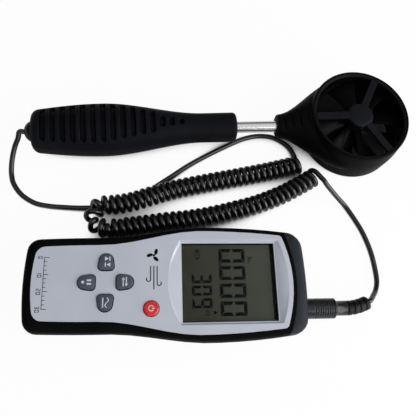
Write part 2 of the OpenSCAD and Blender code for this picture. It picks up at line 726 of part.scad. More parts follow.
// Neck of the head: it widens from a round collar to the full width of the ring
neck_end = 10;
neck_ribs = 3;
neck_rib_pitch = 5.2;
neck_rib_first = 4.4;
neck_rib_w = [1.4, 2.4];
neck_round = 1.5;
neck_swell = 26;
neck_inset = 1.8;
function neck_width(u) = lerp(neck_d / 2, sqrt(head_r * head_r - neck_end * neck_end),
    ease(u / (neck_l - neck_end))) - rounded_end(u, neck_round);
function neck_height(u) = lerp(neck_d / 2, head_t / 2 - neck_inset, ease(u / neck_swell))
    - rounded_end(u, neck_round);
neck_rib_end = neck_rib_first + neck_ribs * neck_rib_pitch;
neck_stations = concat([[0, 0], [neck_round * 0.4, 0], [neck_round, 0]],
    [for (i = [0 : neck_ribs]) let (u = neck_rib_first + i * neck_rib_pitch)
        each [[u - neck_rib_w[1] / 2, 0], [u - neck_rib_w[0] / 2, 1], [u + neck_rib_w[0] / 2, 1],
            [u + neck_rib_w[1] / 2, 0]]],
    [for (i = [1 : 6]) [lerp(neck_rib_end + neck_rib_w[1], neck_l - neck_end, i / 6), 0]]);
rib_reach = 6;
rib_depth = 0.9;
pickup_r = 2.4;
pickup_l = 7;
pickup_wall = 0.6;
pickup_x = -duct_r - pickup_wall;

// The ring of the head, with a barrel-shaped wall, rounded rims and a seat for a guard at each end
rim_round = 1.6;
barrel = 0.8;
barrel_flat = 2;
ring_profile = concat(
    [for (s = [-1, 1], i = [0 : 4]) let (a = s < 0 ? -90 + 22.5 * i : 22.5 * i)
        [head_r - barrel - rim_round + rim_round * cos(a),
            s * (head_t / 2 - rim_round) + rim_round * sin(a)]]);
ring_outer = concat([for (i = [0 : 4]) ring_profile[i]], [[head_r, -barrel_flat], [head_r, barrel_flat]],
    [for (i = [5 : 9]) ring_profile[i]]);

module head_housing() color([0.12, 0.13, 0.14]) at_probe() difference() {
    union() {
        rotate_extrude($fn = 96) polygon(concat(ring_outer, [[0, head_t / 2], [0, -head_t / 2]]));
        skin([for (v = neck_stations) let (x = -neck_l + v[0], w = neck_width(v[0]), h = neck_height(v[0]),
            upper = half_section(x, w, h, 1, v[1] * rib_depth, rib_reach))
            concat(upper, [for (i = [1 : section_steps - 1]) [x, -upper[i].y, -upper[i].z]])]);
    }
    cylinder(r = duct_r, h = far, center = true);
    for (s = [0, 1]) mirror([0, 0, s]) translate([0, 0, guard_z]) cylinder(r = guard_seat_r, h = far);
    along_x(-neck_l - 1) cylinder(r = tube_d / 2 + fit, h = tube_seat + 1);
    along_x(-neck_l) cylinder(r = pickup_r + fit, h = neck_l - duct_r + 1);
}

// A guard: a ring, three spokes and a hub with a socket for the bearing
bearing_sink = 0.6;
bearing_z = guard_z - bearing_h + bearing_sink;
socket_wall = 1.6;
hub_lap = 2;
hub_edge = 1;
hub_crown = 0.5;
ring_edge = 0.8;
module guard() {
    difference() {
        union() {
            translate([0, 0, guard_z]) rotate_extrude() polygon([
                [guard_seat_r - fit, 0], [guard_seat_r - fit, guard_t], [guard_seat_r - ring_edge, guard_t],
                [guard_seat_r - guard_ring_w, guard_t * 0.6], [guard_seat_r - guard_ring_w, 0]]);
            for (a = [60, 180, 300]) rotate([0, 0, a]) translate([hub_d / 2 - hub_lap, -spoke_w / 2, guard_z])
                cube([guard_seat_r - hub_d / 2 + hub_lap - guard_ring_w / 2, spoke_w, guard_t]);
            rotate_extrude() polygon([
                [0, bearing_z], [bearing_d / 2 + socket_wall, bearing_z],
                [bearing_d / 2 + socket_wall, guard_z], [hub_d / 2, guard_z],
                [hub_d / 2, guard_z + guard_t * 0.7],
                [hub_d / 2 - hub_edge, guard_z + guard_t + hub_crown / 5],
                [0, guard_z + guard_t + hub_crown]]);
        }
        translate([0, 0, bearing_z - 1]) cylinder(d = bearing_d, h = bearing_h + 1);
    }
}

module front_guard() color([0.2, 0.22, 0.24]) at_probe() guard();

module rear_guard() color([0.2, 0.22, 0.24]) at_probe() mirror([0, 0, 1]) guard();

bearing_cap = 0.5;
module bearing() {
    difference() {
        translate([0, 0, bearing_z]) cylinder(d = bearing_d, h = bearing_h);
        translate([0, 0, bearing_z - 1]) cylinder(r = axle_d / 2 + axle_gap, h = bearing_h + 1 - bearing_cap);
    }
}

module front_bearing() color([0.7, 0.6, 0.3]) at_probe() bearing();

module rear_bearing() color([0.7, 0.6, 0.3]) at_probe() mirror([0, 0, 1]) bearing();

module pickup_sensor() color([0.2, 0.2, 0.22]) at_probe() along_x(pickup_x - pickup_l)
    cylinder(r = pickup_r, h = pickup_l);

// A bead thermistor on the duct's wall, beside the neck
bead_angle = 205;
bead_l = 1.2;
bead_r = 1.2;
bead_x = sqrt(duct_r * duct_r - bead_r * bead_r) - bead_l;
bead_z = guard_z - 2 * bead_r;
module temperature_bead() color([0.1, 0.1, 0.1]) at_probe() rotate([0, 0, bead_angle])
    translate([bead_x, 0, bead_z]) rotate([0, 90, 0]) cylinder(r = bead_r, h = bead_l);

// Blades: a curved, twisted section that runs from the hub to the tip
tip_r = duct_r - tip_gap;
blade_stations = 5;
blade_points = 5;
root_pitch = 50;
tip_pitch = 24;
root_chord = 0.44;
camber = 1.6;
blade_root = 1.2;
blade_turn = 14;
function blade_ring(r, share) =
    let (pitch = lerp(root_pitch, tip_pitch, share), chord = lerp(root_chord, 1, share) * blade_chord,
        line = [for (i = [0 : blade_points - 1]) let (t = i / (blade_points - 1) - 0.5)
            [t * chord, camber * (1 - 4 * t * t)]],
        edge = concat([for (p = line) [p.x, p.y + blade_t / 2]],
            [for (i = [blade_points - 1 : -1 : 0]) [line[i].x, line[i].y - blade_t / 2]]))
    [for (p = edge) let (y = p.x * cos(pitch) - p.y * sin(pitch), z = p.x * sin(pitch) + p.y * cos(pitch))
        [sqrt(max(r * r - y * y, 1)), -y, min(max(z, -impeller_h / 2), impeller_h / 2)]];
module blade() {
    skin([for (i = [0 : blade_stations - 1]) let (t = i / (blade_stations - 1))
        blade_ring(lerp(impeller_hub_d / 2 - blade_root, tip_r, t), t)], thin = true);
}

module impeller() color([0.1, 0.1, 0.11]) at_probe() difference() {
    union() {
        cylinder(d = impeller_hub_d, h = impeller_h, center = true);
        for (i = [0 : blades - 1]) rotate([0, 0, 360 * i / blades + blade_turn]) blade();
    }
    cylinder(d = axle_d, h = far, center = true);
}

axle_play = 0.3;
axle_half = bearing_z + bearing_h - bearing_cap - axle_play;
module impeller_axle() color([0.75, 0.76, 0.78]) at_probe()
    cylinder(d = axle_d, h = 2 * axle_half, center = true);

// Cord gland at the butt, and the lead inside the probe
gland_stem_r = 4.2;
gland_stem_l = 8;
gland_lip = 1.2;
gland_tip_x = butt_x - gland_l;
module cord_gland() color([0.1, 0.1, 0.11]) at_probe() along_x(gland_tip_x) rotate_extrude() polygon([
    [0, 0], [cord_d / 2 + gland_lip, 0], [gland_d * 0.34, gland_l * 0.2], [gland_d * 0.44, gland_l * 0.48],
    [gland_d / 2, gland_l * 0.8], [gland_d / 2, gland_l], [gland_stem_r, gland_l],
    [gland_stem_r, gland_l + gland_stem_l], [0, gland_l + gland_stem_l]]);

inner_lead_r = 1.2;
inner_lead_x0 = butt_x + gland_stem_l;
module inner_lead() color([0.15, 0.15, 0.16]) at_probe() along_x(inner_lead_x0)
    cylinder(r = inner_lead_r, h = pickup_x - pickup_l - inner_lead_x0);

// Curly cord: the axis of the curls, chosen by hand, lies on the table and climbs over the probe lead.
// Each point has its place along and across the meter and its height above where the curls would lie.
curl_route = [[94, 88.8, 0], [88.2, 87.4, 0], [70.1, 82.9, 0], [48.1, 78.1, 0], [26.6, 73.6, 0],
    [5.1, 68.2, 1.4], [-12.4, 61.8, 3.9], [-20.2, 59.1, 3.9], [-26, 57.6, 3.9], [-30.8, 56.7, 3.9],
    [-35.1, 56.1, 3.9], [-39.2, 55.8, 3.9], [-43.15, 54.75, 3.9], [-46.05, 51.9, 3.9], [-47.1, 48, 3.9],
    [-46.05, 44.1, 3.9], [-43.15, 41.25, 3.9], [-39.2, 40.2, 3.9], [-35.1, 40.1, 3.9], [-30.8, 40.4, 3.7],
    [-26, 41.1, 2.8], [-19.4, 42.4, 1.4], [-10.4, 44.2, 0], [0.6, 45.8, 0], [13.6, 47.2, 0], [29.6, 50, 0],
    [46.6, 54.2, 0], [62.6, 58.8, 0], [80.2, 65.8, 0.8], [95.2, 73.6, 2.4], [104.2, 78.8, 3]];
table_gap = 0.1;
curl_axis = [for (p = curl_route) [p.x, p.y, p.z + curl_d / 2 + table_gap]];
axis_steps = 12;
axis = curve(curl_axis, axis_steps);
axis_n = len(axis);
curl_r = (curl_d - cord_d) / 2;
curl_play = 0.65;
curl_space = cord_d + curl_play;
axis_dir = [for (i = [0 : axis_n - 1]) along_path(axis, i)];

// Curls per millimetre, and how far they are squeezed on the inside of a bend, where they lie in two rows
bend_span = 14;
function bend_at(i) = let (a = max(i - bend_span, 0), b = min(i + bend_span, axis_n - 1))
    norm(axis_dir[b] - axis_dir[a]) / norm(axis[b] - axis[a]);
tight_bend = [0.01, 0.05];
row_reach = [0.85, 0.25];
function squeeze_at(i) = ease((bend_at(i) - tight_bend[0]) / (tight_bend[1] - tight_bend[0]));
function curls_at(i) = 1 / max(curl_pitch, curl_space / 2 / max(1 - curl_r * bend_at(i), 0.3));
curl_sum = [for (i = 0, s = 0; i < axis_n;
    s = s + (i < axis_n - 1 ? norm(axis[i + 1] - axis[i]) * (curls_at(i) + curls_at(i + 1)) / 2 : 0),
    i = i + 1) s];
curls = floor(last(curl_sum)) + 0.5;
curl_scale = curls / last(curl_sum);
turn_table = [for (k = [0 : 2]) [for (i = [0 : axis_n - 1]) [curl_sum[i] * curl_scale, axis[i][k]]]];
function axis_at(turn) = [for (k = [0 : 2]) lookup(turn, turn_table[k])];
squeeze_table = [for (i = [0 : axis_n - 1]) [curl_sum[i] * curl_scale, squeeze_at(i)]];
function reach_at(turn) = lerp(1, lerp(row_reach[0], row_reach[1], (1 + cos(180 * (turn - 0.25))) / 2),
    lookup(turn, squeeze_table));
curl_rings = 8;
turn_step = 1 / curl_rings;
wire_n = curls * curl_rings;
function axis_along(turn) = unit(axis_at(min(turn + turn_step, curls)) - axis_at(max(turn - turn_step, 0)));
function outward(turn, angle) =
    let (d = axis_along(turn), n = unit([-d.y, d.x, 0])) cos(angle) * n + [0, 0, sin(angle)];
function wire_point(turn) = let (d = axis_along(turn), n = unit([-d.y, d.x, 0]), a = 360 * turn - 90)
    axis_at(turn) + curl_r * lerp(-1, reach_at(turn), (1 + cos(a)) / 2) * n + [0, 0, curl_r * sin(a)];
function wire_along(turn) = unit(2 * PI * curl_r * outward(turn, 360 * turn) + curl_pitch * axis_along(turn));
wire = [for (i = [0 : wire_n]) wire_point(i * turn_step)];
wire_dir = [for (i = [0 : wire_n]) i == 0 || i == wire_n ? wire_along(i * turn_step) : along_path(wire, i)];
wire_start = wire[0] - cord_d * wire_dir[0];
wire_end = last(wire) + cord_d * last(wire_dir);
curl_gap = min([for (i = [0 : wire_n], j = [i + 5 : 1 : wire_n]) norm(wire[j] - wire[i])]) - cord_d;
wire_l = curls * norm([2 * PI * curl_r, curl_pitch]);
echo(curls = curls, curl_gap = curl_gap, wire_length = wire_l);

module curly_cord() color([0.09, 0.09, 0.1]) skin(concat(
    [tube_ring(wire_start, wire_dir[0], outward(0, -90), cord_d / 2, 6)],
    [for (i = [0 : wire_n]) tube_ring(wire[i], wire_dir[i], outward(i * turn_step, 360 * i * turn_step - 90),
        cord_d / 2, 6)],
    [tube_ring(wire_end, last(wire_dir), outward(curls, 90), cord_d / 2, 6)]));

// Plain leads, chosen by hand: from the gland to the curls, and from the curls to the plug
lead_z = cord_d / 2 + table_gap;
lead_steps = 2;
gland_tip = on_probe([gland_tip_x, 0, 0]);
gland_out = [-cos(probe_turn), -sin(probe_turn), 0];
probe_route = [[-98.6, 102.2, 13.2], [-101, 97.4, 9.8], [-102.7, 91.6, 6.4], [-103.5, 85.4, 3.6],
    [-103.2, 79.6, 2], [-101.2, 73.4, lead_z], [-95.6, 66, lead_z], [-87, 60.4, lead_z],
    [-77.4, 58.2, lead_z], [-67.4, 57.4, lead_z], [-57.4, 57, lead_z], [-47.4, 57.4, lead_z],
    [-37.4, 58.8, lead_z], [-27.4, 61.4, lead_z], [-18.4, 65.2, lead_z], [-10.4, 70.4, lead_z],
    [-4.4, 74.9, lead_z], [3.6, 80.5, lead_z], [14.6, 88.4, lead_z], [25.6, 95.2, lead_z],
    [37.6, 101.9, lead_z], [48.6, 107.6, lead_z], [57.6, 111.5, lead_z], [67.1, 113.6, lead_z],
    [76.6, 113, lead_z], [84.4, 109.4, lead_z], [90, 104.2, lead_z], [93, 97.8, lead_z]];
plug_route = [[111, 70.6, 13.2], [116.1, 67, 9.2], [121.1, 63.5, 5.5], [125.9, 59.7, 2.7],
    [129.6, 54.4, lead_z], [133.1, 47.8, lead_z], [136.5, 40.4, lead_z], [139.5, 30.9, lead_z],
    [141.2, 22.4, lead_z], [142, 13.2, 1.9], [141.4, 5, 3], [138.6, -1.4, 5.4], [134.6, -6, 8.8]];
function lead_path(from, from_dir, route, to, to_dir) = concat([from],
    curve(concat([from + cord_d * from_dir], route, [to - cord_d * to_dir]), lead_steps), [to]);
module lead(path) {
    color([0.09, 0.09, 0.1]) skin(path_rings(path, cord_d / 2, 8));
}

module probe_lead() lead(lead_path(gland_tip, gland_out, probe_route, wire_start, wire_dir[0]));

module plug_lead() lead(lead_path(wire_end, last(wire_dir), plug_route, relief_end, -relief_dir));

// Plug: a turned grip with fine rings, a neck, and a flexible ribbed relief that bends towards the lead
plug_stand = 0.3;
plug_x0 = case_x1 + plug_stand;
neck_x1 = plug_x0 + plug_l + plug_neck_l;
plug_edge = 0.8;
rings_n = 9;
ring_pitch = 1.5;
ring_depth = 0.5;
ring_w = [0.5, 0.9];
ring_last = 2.2;
module plug_body() color([0.13, 0.13, 0.14]) difference() {
    on_plug_axis(plug_x0) rotate_extrude() polygon(concat(
        [[0, 0], [plug_d / 2 - plug_edge, 0], [plug_d / 2, plug_edge]],
        [for (i = [rings_n - 1 : -1 : 0]) let (x = plug_l - ring_last - i * ring_pitch)
            each [[plug_d / 2, x - ring_w[1] / 2], [plug_d / 2 - ring_depth, x - ring_w[0] / 2],
                [plug_d / 2 - ring_depth, x + ring_w[0] / 2], [plug_d / 2, x + ring_w[1] / 2]]],
        [[plug_d / 2, plug_l - plug_edge], [plug_neck_d / 2 + ring_depth, plug_l],
            [plug_neck_d / 2, plug_l + plug_edge],
            [plug_neck_d / 2, plug_l + plug_neck_l], [0, plug_l + plug_neck_l]]));
    on_plug_axis(plug_x0 - 1) cylinder(d = pin_d, h = pin_seat + 1);
}

pin_seat = 6;
module plug_pin() color([0.78, 0.74, 0.6]) on_plug_axis(case_x1 - pin_l)
    cylinder(d = pin_d, h = plug_x0 + pin_seat - case_x1 + pin_l);

relief_l = 15.4;
relief_ribs = 4;
relief_swing = 3.6;
relief_drop = 1.9;
relief_tip_r = 3.8;
relief_rib_h = 0.7;
function relief_point(t) =
    [neck_x1 + relief_l * t, plug_y + relief_swing * t * t, plug_z - relief_drop * t * t];
relief_end = relief_point(1);
relief_dir = unit([relief_l, 2 * relief_swing, -2 * relief_drop]);
function relief_along(t) = unit([relief_l, 2 * relief_swing * t, -2 * relief_drop * t]);
relief_stations = concat([[0, 0]],
    [for (i = [0 : relief_ribs - 1]) each [[(i + 0.16) / relief_ribs, 0], [(i + 0.26) / relief_ribs, 1],
        [(i + 0.8) / relief_ribs, 1], [(i + 0.9) / relief_ribs, 0]]], [[1, 0]]);
module plug_relief() color([0.1, 0.1, 0.11]) skin([for (s = relief_stations)
    tube_ring(relief_point(s[0]), relief_along(s[0]), [0, 0, 1],
        lerp(plug_neck_d / 2 - relief_rib_h, relief_tip_r, s[0]) + relief_rib_h * s[1], 16)]);

rear_cover();
front_bezel();
face_panel();
end_cap();
display_lens();
lcd_module();
light_guide();
main_board();
key_switches();
max_min_key();
average_key();
unit_key();
hold_key();
power_key();
probe_jack();
battery();
battery_snap();
battery_door();
case_screws();
handle_upper();
handle_lower();
handle_screws();
probe_tube();
inner_lead();
head_housing();
front_guard();
rear_guard();
front_bearing();
rear_bearing();
pickup_sensor();
temperature_bead();
impeller();
impeller_axle();
cord_gland();
probe_lead();
curly_cord();
plug_lead();
plug_relief();
plug_body();
plug_pin();
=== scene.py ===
import bisect
import math

import bpy
from mathutils import Matrix, Vector


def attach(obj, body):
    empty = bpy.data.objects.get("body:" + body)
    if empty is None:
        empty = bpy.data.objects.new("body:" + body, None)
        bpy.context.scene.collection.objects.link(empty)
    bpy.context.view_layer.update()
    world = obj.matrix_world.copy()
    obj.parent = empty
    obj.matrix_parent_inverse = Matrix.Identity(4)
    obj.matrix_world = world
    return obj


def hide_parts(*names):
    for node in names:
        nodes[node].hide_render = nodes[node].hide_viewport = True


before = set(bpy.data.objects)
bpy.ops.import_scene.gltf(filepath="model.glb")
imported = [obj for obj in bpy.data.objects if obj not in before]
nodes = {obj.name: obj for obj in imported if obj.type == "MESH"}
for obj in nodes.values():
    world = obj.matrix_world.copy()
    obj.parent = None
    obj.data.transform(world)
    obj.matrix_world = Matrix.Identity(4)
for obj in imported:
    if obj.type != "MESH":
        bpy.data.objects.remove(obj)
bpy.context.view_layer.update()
ROOT = "meter_and_probe"
MM = 0.001


# Camera: a lens, a place and two directions in the frame of the part
def make_camera():
    data = bpy.data.cameras.new("camera")
    data.sensor_fit = "HORIZONTAL"
    data.sensor_width = 36
    data.lens = 45.72
    data.clip_start = 0.01
    camera = bpy.data.objects.new("camera", data)
    forward = Vector((0.119214, 0.338731, -0.9333)).normalized()
    right = Vector((0.992852, -0.035229, 0.114035))
    right = (right - forward * right.dot(forward)).normalized()
    up = right.cross(forward)
    camera.matrix_world = Matrix((right, up, -forward)).transposed().to_4x4()
    camera.location = (-0.014665, -0.065257, 0.340184)
    bpy.context.scene.collection.objects.link(camera)
    bpy.context.scene.camera = camera


make_camera()


# Small helpers for shapes, in millimetres
def lerp(a, b, t):
    return a + (b - a) * t


def clamp(t):
    return min(max(t, 0.0), 1.0)


def ease(t):
    c = clamp(t)
    return c * c * (3 - 2 * c)


def knot(points, i):
    if i < 0:
        return 2 * points[0] - points[1]
    if i >= len(points):
        return 2 * points[-1] - points[-2]
    return points[i]


def curve(points, steps):
    """A smooth line through the points, with that many steps from each to the next."""
    line = []
    for i in range(len(points) - 1):
        a, b, c, d = (knot(points, i + k) for k in (-1, 0, 1, 2))
        for s in range(steps):
            t = s / steps
            line.append(0.5 * (2 * b + (c - a) * t + (2 * a - 5 * b + 4 * c - d) * t * t
                               + (3 * b - a - 3 * c + d) * t ** 3))
    return line + [points[-1]]


PROBE = (135.2, 117.4, 15.5)
PROBE_TURN = math.radians(2.9)
RING_R = 31.6
DUCT_R = 32.7


def on_probe(p):
    """A point of the probe's own frame, which has the duct's axis as Z and the handle along -X."""
    c, s = math.cos(PROBE_TURN), math.sin(PROBE_TURN)
    return Vector((PROBE[0] + p[0] * c - p[1] * s, PROBE[1] + p[0] * s + p[1] * c, PROBE[2] + p[2]))


def piece(name, verts, faces, material, body=ROOT, replaced=(), sharp=35):
    """A mesh in millimetres, as an object that rides on a body and may stand for CAD nodes."""
    mesh = bpy.data.meshes.new(name)
    mesh.from_pydata([Vector(v) * MM for v in verts], [], faces)
    mesh.validate()
    for polygon in mesh.polygons:
        polygon.use_smooth = True
    mesh.set_sharp_from_angle(angle=math.radians(sharp))
    obj = bpy.data.objects.new(name, mesh)
    bpy.context.scene.collection.objects.link(obj)
    obj.data.materials.append(material)
    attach(obj, body)
    if replaced:
        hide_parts(*replaced)
    return obj


def skin(rings):
    """Vertices and faces of a closed tube through rings with the same number of points."""
    n = len(rings[0])
    verts = [p for ring in rings for p in ring]
    faces = []
    for r in range(len(rings) - 1):
        for i in range(n):
            j = (i + 1) % n
            faces.append((r * n + i, r * n + j, r * n + n + j, r * n + n + i))
    faces.append(tuple(reversed(range(n))))
    faces.append(tuple(range((len(rings) - 1) * n, len(rings) * n)))
    return verts, faces


def round_steps(n):
    """The cosine and the sine at n even steps round a circle."""
    return [(math.cos(2 * math.pi * i / n), math.sin(2 * math.pi * i / n)) for i in range(n)]


def lathe(profile, sides, place):
    """Vertices and faces of a profile of (radius, height) turned about Z, closed at both ends."""
    return skin([[place((r * c, r * s, z)) for c, s in round_steps(sides)] for r, z in profile])


# Materials
NOISE_LOW = 0.3
NOISE_HIGH = 0.7
BEVEL_SAMPLES = 6
PLASTIC_ROUND = 0.0003
METAL_ROUND = 0.0002
METAL_MARKS = 900
SLOT_SHADE = 0.004
LCD_FOOT_X = 0.012
LCD_HEAD_X = 0.056


def material(name):
    mat = bpy.data.materials.new(name)
    mat.use_nodes = True
    tree = mat.node_tree
    tree.nodes.clear()
    shader = tree.nodes.new("ShaderNodeBsdfPrincipled")
    out = tree.nodes.new("ShaderNodeOutputMaterial")
    tree.links.new(shader.outputs["BSDF"], out.inputs["Surface"])
    return mat, tree, shader


def shader_of(mat):
    return next(n for n in mat.node_tree.nodes if n.type == "BSDF_PRINCIPLED")


def from_object(tree):
    return tree.nodes.new("ShaderNodeTexCoord").outputs["Object"]


def on_axis(tree, vector, axis):
    split = tree.nodes.new("ShaderNodeSeparateXYZ")
    tree.links.new(vector, split.inputs[0])
    return split.outputs[axis]


def joined(tree, operation, a, b):
    """Two outputs of other nodes through a Math node."""
    node = tree.nodes.new("ShaderNodeMath")
    node.operation = operation
    tree.links.new(a, node.inputs[0])
    tree.links.new(b, node.inputs[1])
    return node.outputs[0]


def vector_step(tree, operation, vector, value=None):
    """A vector through a Vector Math node, with a fixed second vector if one is given."""
    node = tree.nodes.new("ShaderNodeVectorMath")
    node.operation = operation
    tree.links.new(vector, node.inputs[0])
    if value is not None:
        node.inputs[1].default_value = value
    return node


def noise(tree, scale, detail, stretch=None):
    """Noise over the piece; scale is the number of its cells in a metre."""
    place = from_object(tree)
    if stretch:
        mapping = tree.nodes.new("ShaderNodeMapping")
        mapping.inputs["Scale"].default_value = stretch
        tree.links.new(place, mapping.inputs["Vector"])
        place = mapping.outputs["Vector"]
    node = tree.nodes.new("ShaderNodeTexNoise")
    node.inputs["Scale"].default_value = scale
    node.inputs["Detail"].default_value = detail
    tree.links.new(place, node.inputs["Vector"])
    return node.outputs["Fac"]


def ramp(tree, fac, stops):
    node = tree.nodes.new("ShaderNodeValToRGB")
    elements = node.color_ramp.elements
    while len(elements) < len(stops):
        elements.new(0.5)
    for element, (at, colour) in zip(elements, stops):
        element.position = at
        element.color = (*colour, 1)
    tree.links.new(fac, node.inputs["Fac"])
    return node.outputs["Color"]


def spread(tree, fac, low, high, start=NOISE_LOW, end=NOISE_HIGH):
    """From low to high while fac goes from start to end."""
    node = tree.nodes.new("ShaderNodeMapRange")
    for name, value in (("From Min", start), ("From Max", end), ("To Min", low), ("To Max", high)):
        node.inputs[name].default_value = value
    tree.links.new(fac, node.inputs["Value"])
    return node.outputs["Result"]


def mixed(tree, fac, tone, colour):
    """A tone that gives way to a colour where fac is 1."""
    node = tree.nodes.new("ShaderNodeMix")
    node.data_type = "RGBA"
    tree.links.new(fac, node.inputs[0])
    tree.links.new(tone, node.inputs[6])
    node.inputs[7].default_value = (*colour, 1)
    return node.outputs[2]


def recolour(tree, shader, fac, colour):
    """The colour that a shader has gives way to another one where fac is 1."""
    tone = shader.inputs["Base Color"].links[0].from_socket
    tree.links.new(mixed(tree, fac, tone, colour), shader.inputs["Base Color"])


def openness(tree, reach, samples, only_local=False):
    """1 where nothing stands within reach of a surface, and less in gaps."""
    node = tree.nodes.new("ShaderNodeAmbientOcclusion")
    node.samples = samples
    node.only_local = only_local
    node.inputs["Distance"].default_value = reach
    return node.outputs["AO"]


def rounded_normal(tree, radius):
    bevel = tree.nodes.new("ShaderNodeBevel")
    bevel.samples = BEVEL_SAMPLES
    bevel.inputs["Radius"].default_value = radius
    return bevel.outputs["Normal"]


def edge_mask(tree, radius):
    """Near 1 on edges that face outwards or inwards, and 0 on open surfaces."""
    dot = vector_step(tree, "DOT_PRODUCT", rounded_normal(tree, radius))
    tree.links.new(tree.nodes.new("ShaderNodeNewGeometry").outputs["Normal"], dot.inputs[1])
    return spread(tree, dot.outputs["Value"], 1, 0, 0.8, 0.995)


def bumps(tree, shader, grains, round_edge=None):
    """Bump from several (scale, height in metres, detail) grains, over an edge that looks rounded."""
    normal = rounded_normal(tree, round_edge) if round_edge else None
    for scale, height, detail in grains:
        bump = tree.nodes.new("ShaderNodeBump")
        bump.inputs["Strength"].default_value = 1
        bump.inputs["Distance"].default_value = height
        tree.links.new(noise(tree, scale, detail), bump.inputs["Height"])
        if normal:
            tree.links.new(normal, bump.inputs["Normal"])
        normal = bump.outputs["Normal"]
    tree.links.new(normal, shader.inputs["Normal"])


def plastic(name, dark, light, rough, grains, specular=0.4, patches=60, metallic=0.0, coat=0.0,
            edge=None, edge_width=0.0005):
    """A moulded plastic or rubber: a tone that drifts, uneven gloss, a fine grain and an edge colour that
    is partly wear and partly a painted highlight.
    """
    mat, tree, shader = material(name)
    tone = ramp(tree, noise(tree, patches, 4), [(NOISE_LOW, dark), (NOISE_HIGH, light)])
    # Edge colour: partly wear and partly a painted highlight on the edges. Where it is darker than the
    # face, as on the red key, it is painted shade.
    if edge:
        tone = mixed(tree, edge_mask(tree, edge_width), tone, edge)
    tree.links.new(tone, shader.inputs["Base Color"])
    gloss = spread(tree, noise(tree, patches * 7, 5), *rough)
    tree.links.new(gloss, shader.inputs["Roughness"])
    shader.inputs["Specular IOR Level"].default_value = specular
    shader.inputs["Metallic"].default_value = metallic
    shader.inputs["Coat Weight"].default_value = coat
    bumps(tree, shader, grains, PLASTIC_ROUND)
    return mat


def metal(name, dark, light, rough, grains, stretch=None):
    """A bare or plated metal with fine marks that may run one way."""
    mat, tree, shader = material(name)
    marks = noise(tree, METAL_MARKS, 5, stretch)
    tone = ramp(tree, marks, [(NOISE_LOW, dark), (NOISE_HIGH, light)])
    tree.links.new(tone, shader.inputs["Base Color"])
    tree.links.new(spread(tree, marks, *rough), shader.inputs["Roughness"])
    shader.inputs["Metallic"].default_value = 1
    bumps(tree, shader, grains, METAL_ROUND)
    return mat


FINE = [(2600, 0.00001, 2), (700, 0.000008, 2)]
SATIN = [(5200, 0.000006, 2)]
SHEER = [(9000, 0.000004, 1)]
# The edge colours below are partly wear and partly a painted highlight.
plastics = {
    "case_plastic": dict(dark=(0.0034, 0.0031, 0.0032), light=(0.0052, 0.0048, 0.0049), rough=(0.38, 0.5),
                         grains=FINE, specular=0.006, edge=(0.007, 0.0068, 0.0075)),
    "cap_plastic": dict(dark=(0.0135, 0.0155, 0.022), light=(0.0175, 0.02, 0.0275), rough=(0.4, 0.52),
                        grains=FINE, specular=0.08, edge=(0.04, 0.043, 0.05)),
    "silver_plastic": dict(dark=(0.46, 0.485, 0.557), light=(0.493, 0.52, 0.592), rough=(0.33, 0.43),
                           grains=SHEER, metallic=0.12, edge=(0.62, 0.64, 0.7)),
    "light_guide": dict(dark=(0.7, 0.71, 0.68), light=(0.78, 0.79, 0.76), rough=(0.3, 0.4), grains=SATIN),
    "board": dict(dark=(0.01, 0.08, 0.03), light=(0.02, 0.13, 0.05), rough=(0.35, 0.5), grains=FINE,
                  patches=300),
    "switch": dict(dark=(0.012, 0.012, 0.013), light=(0.02, 0.02, 0.022), rough=(0.35, 0.5), grains=FINE),
    # The red key's darker edge colour is painted shade on its rim.
    "red_plastic": dict(dark=(0.52, 0.008, 0.012), light=(0.62, 0.014, 0.018), rough=(0.22, 0.32),
                        grains=SATIN, patches=200, coat=0.15, edge=(0.3, 0.012, 0.016), edge_width=0.0004),
    "battery_can": dict(dark=(0.03, 0.032, 0.036), light=(0.05, 0.052, 0.058), rough=(0.25, 0.4),
                        grains=SATIN, metallic=0.6),
    "vane_plastic": dict(dark=(0.0024, 0.0024, 0.0028), light=(0.0038, 0.0038, 0.0043), rough=(0.2, 0.3),
                         grains=SATIN, specular=0.035),
    "cord_rubber": dict(dark=(0.0024, 0.0024, 0.0027), light=(0.004, 0.004, 0.0045), rough=(0.2, 0.28),
                        grains=SATIN, specular=0.55, patches=90),
    "relief_rubber": dict(dark=(0.0024, 0.0024, 0.003), light=(0.004, 0.004, 0.005), rough=(0.34, 0.44),
                          grains=SATIN, specular=0.16, patches=90),
    "plug_plastic": dict(dark=(0.006, 0.007, 0.0105), light=(0.0085, 0.0098, 0.0145), rough=(0.22, 0.3),
                         grains=SATIN, specular=0.42, patches=90, edge=(0.05, 0.053, 0.062)),
    "ink_white": dict(dark=(0.54, 0.56, 0.6), light=(0.62, 0.64, 0.68), rough=(0.4, 0.55), grains=SATIN,
                      patches=400),
    "ink_black": dict(dark=(0.003, 0.003, 0.0034), light=(0.006, 0.006, 0.0066), rough=(0.4, 0.55),
                      grains=SATIN, specular=0.02, patches=400),
}
metals = {
    "steel": dict(dark=(0.45, 0.45, 0.46), light=(0.6, 0.6, 0.61), rough=(0.25, 0.4), grains=SATIN),
    "chrome": dict(dark=(0.69, 0.69, 0.71), light=(0.73, 0.73, 0.75), rough=(0.24, 0.26), grains=[],
                   stretch=(0.05, 1, 1)),
    "brass": dict(dark=(0.55, 0.4, 0.16), light=(0.68, 0.5, 0.22), rough=(0.2, 0.35), grains=SATIN),
}


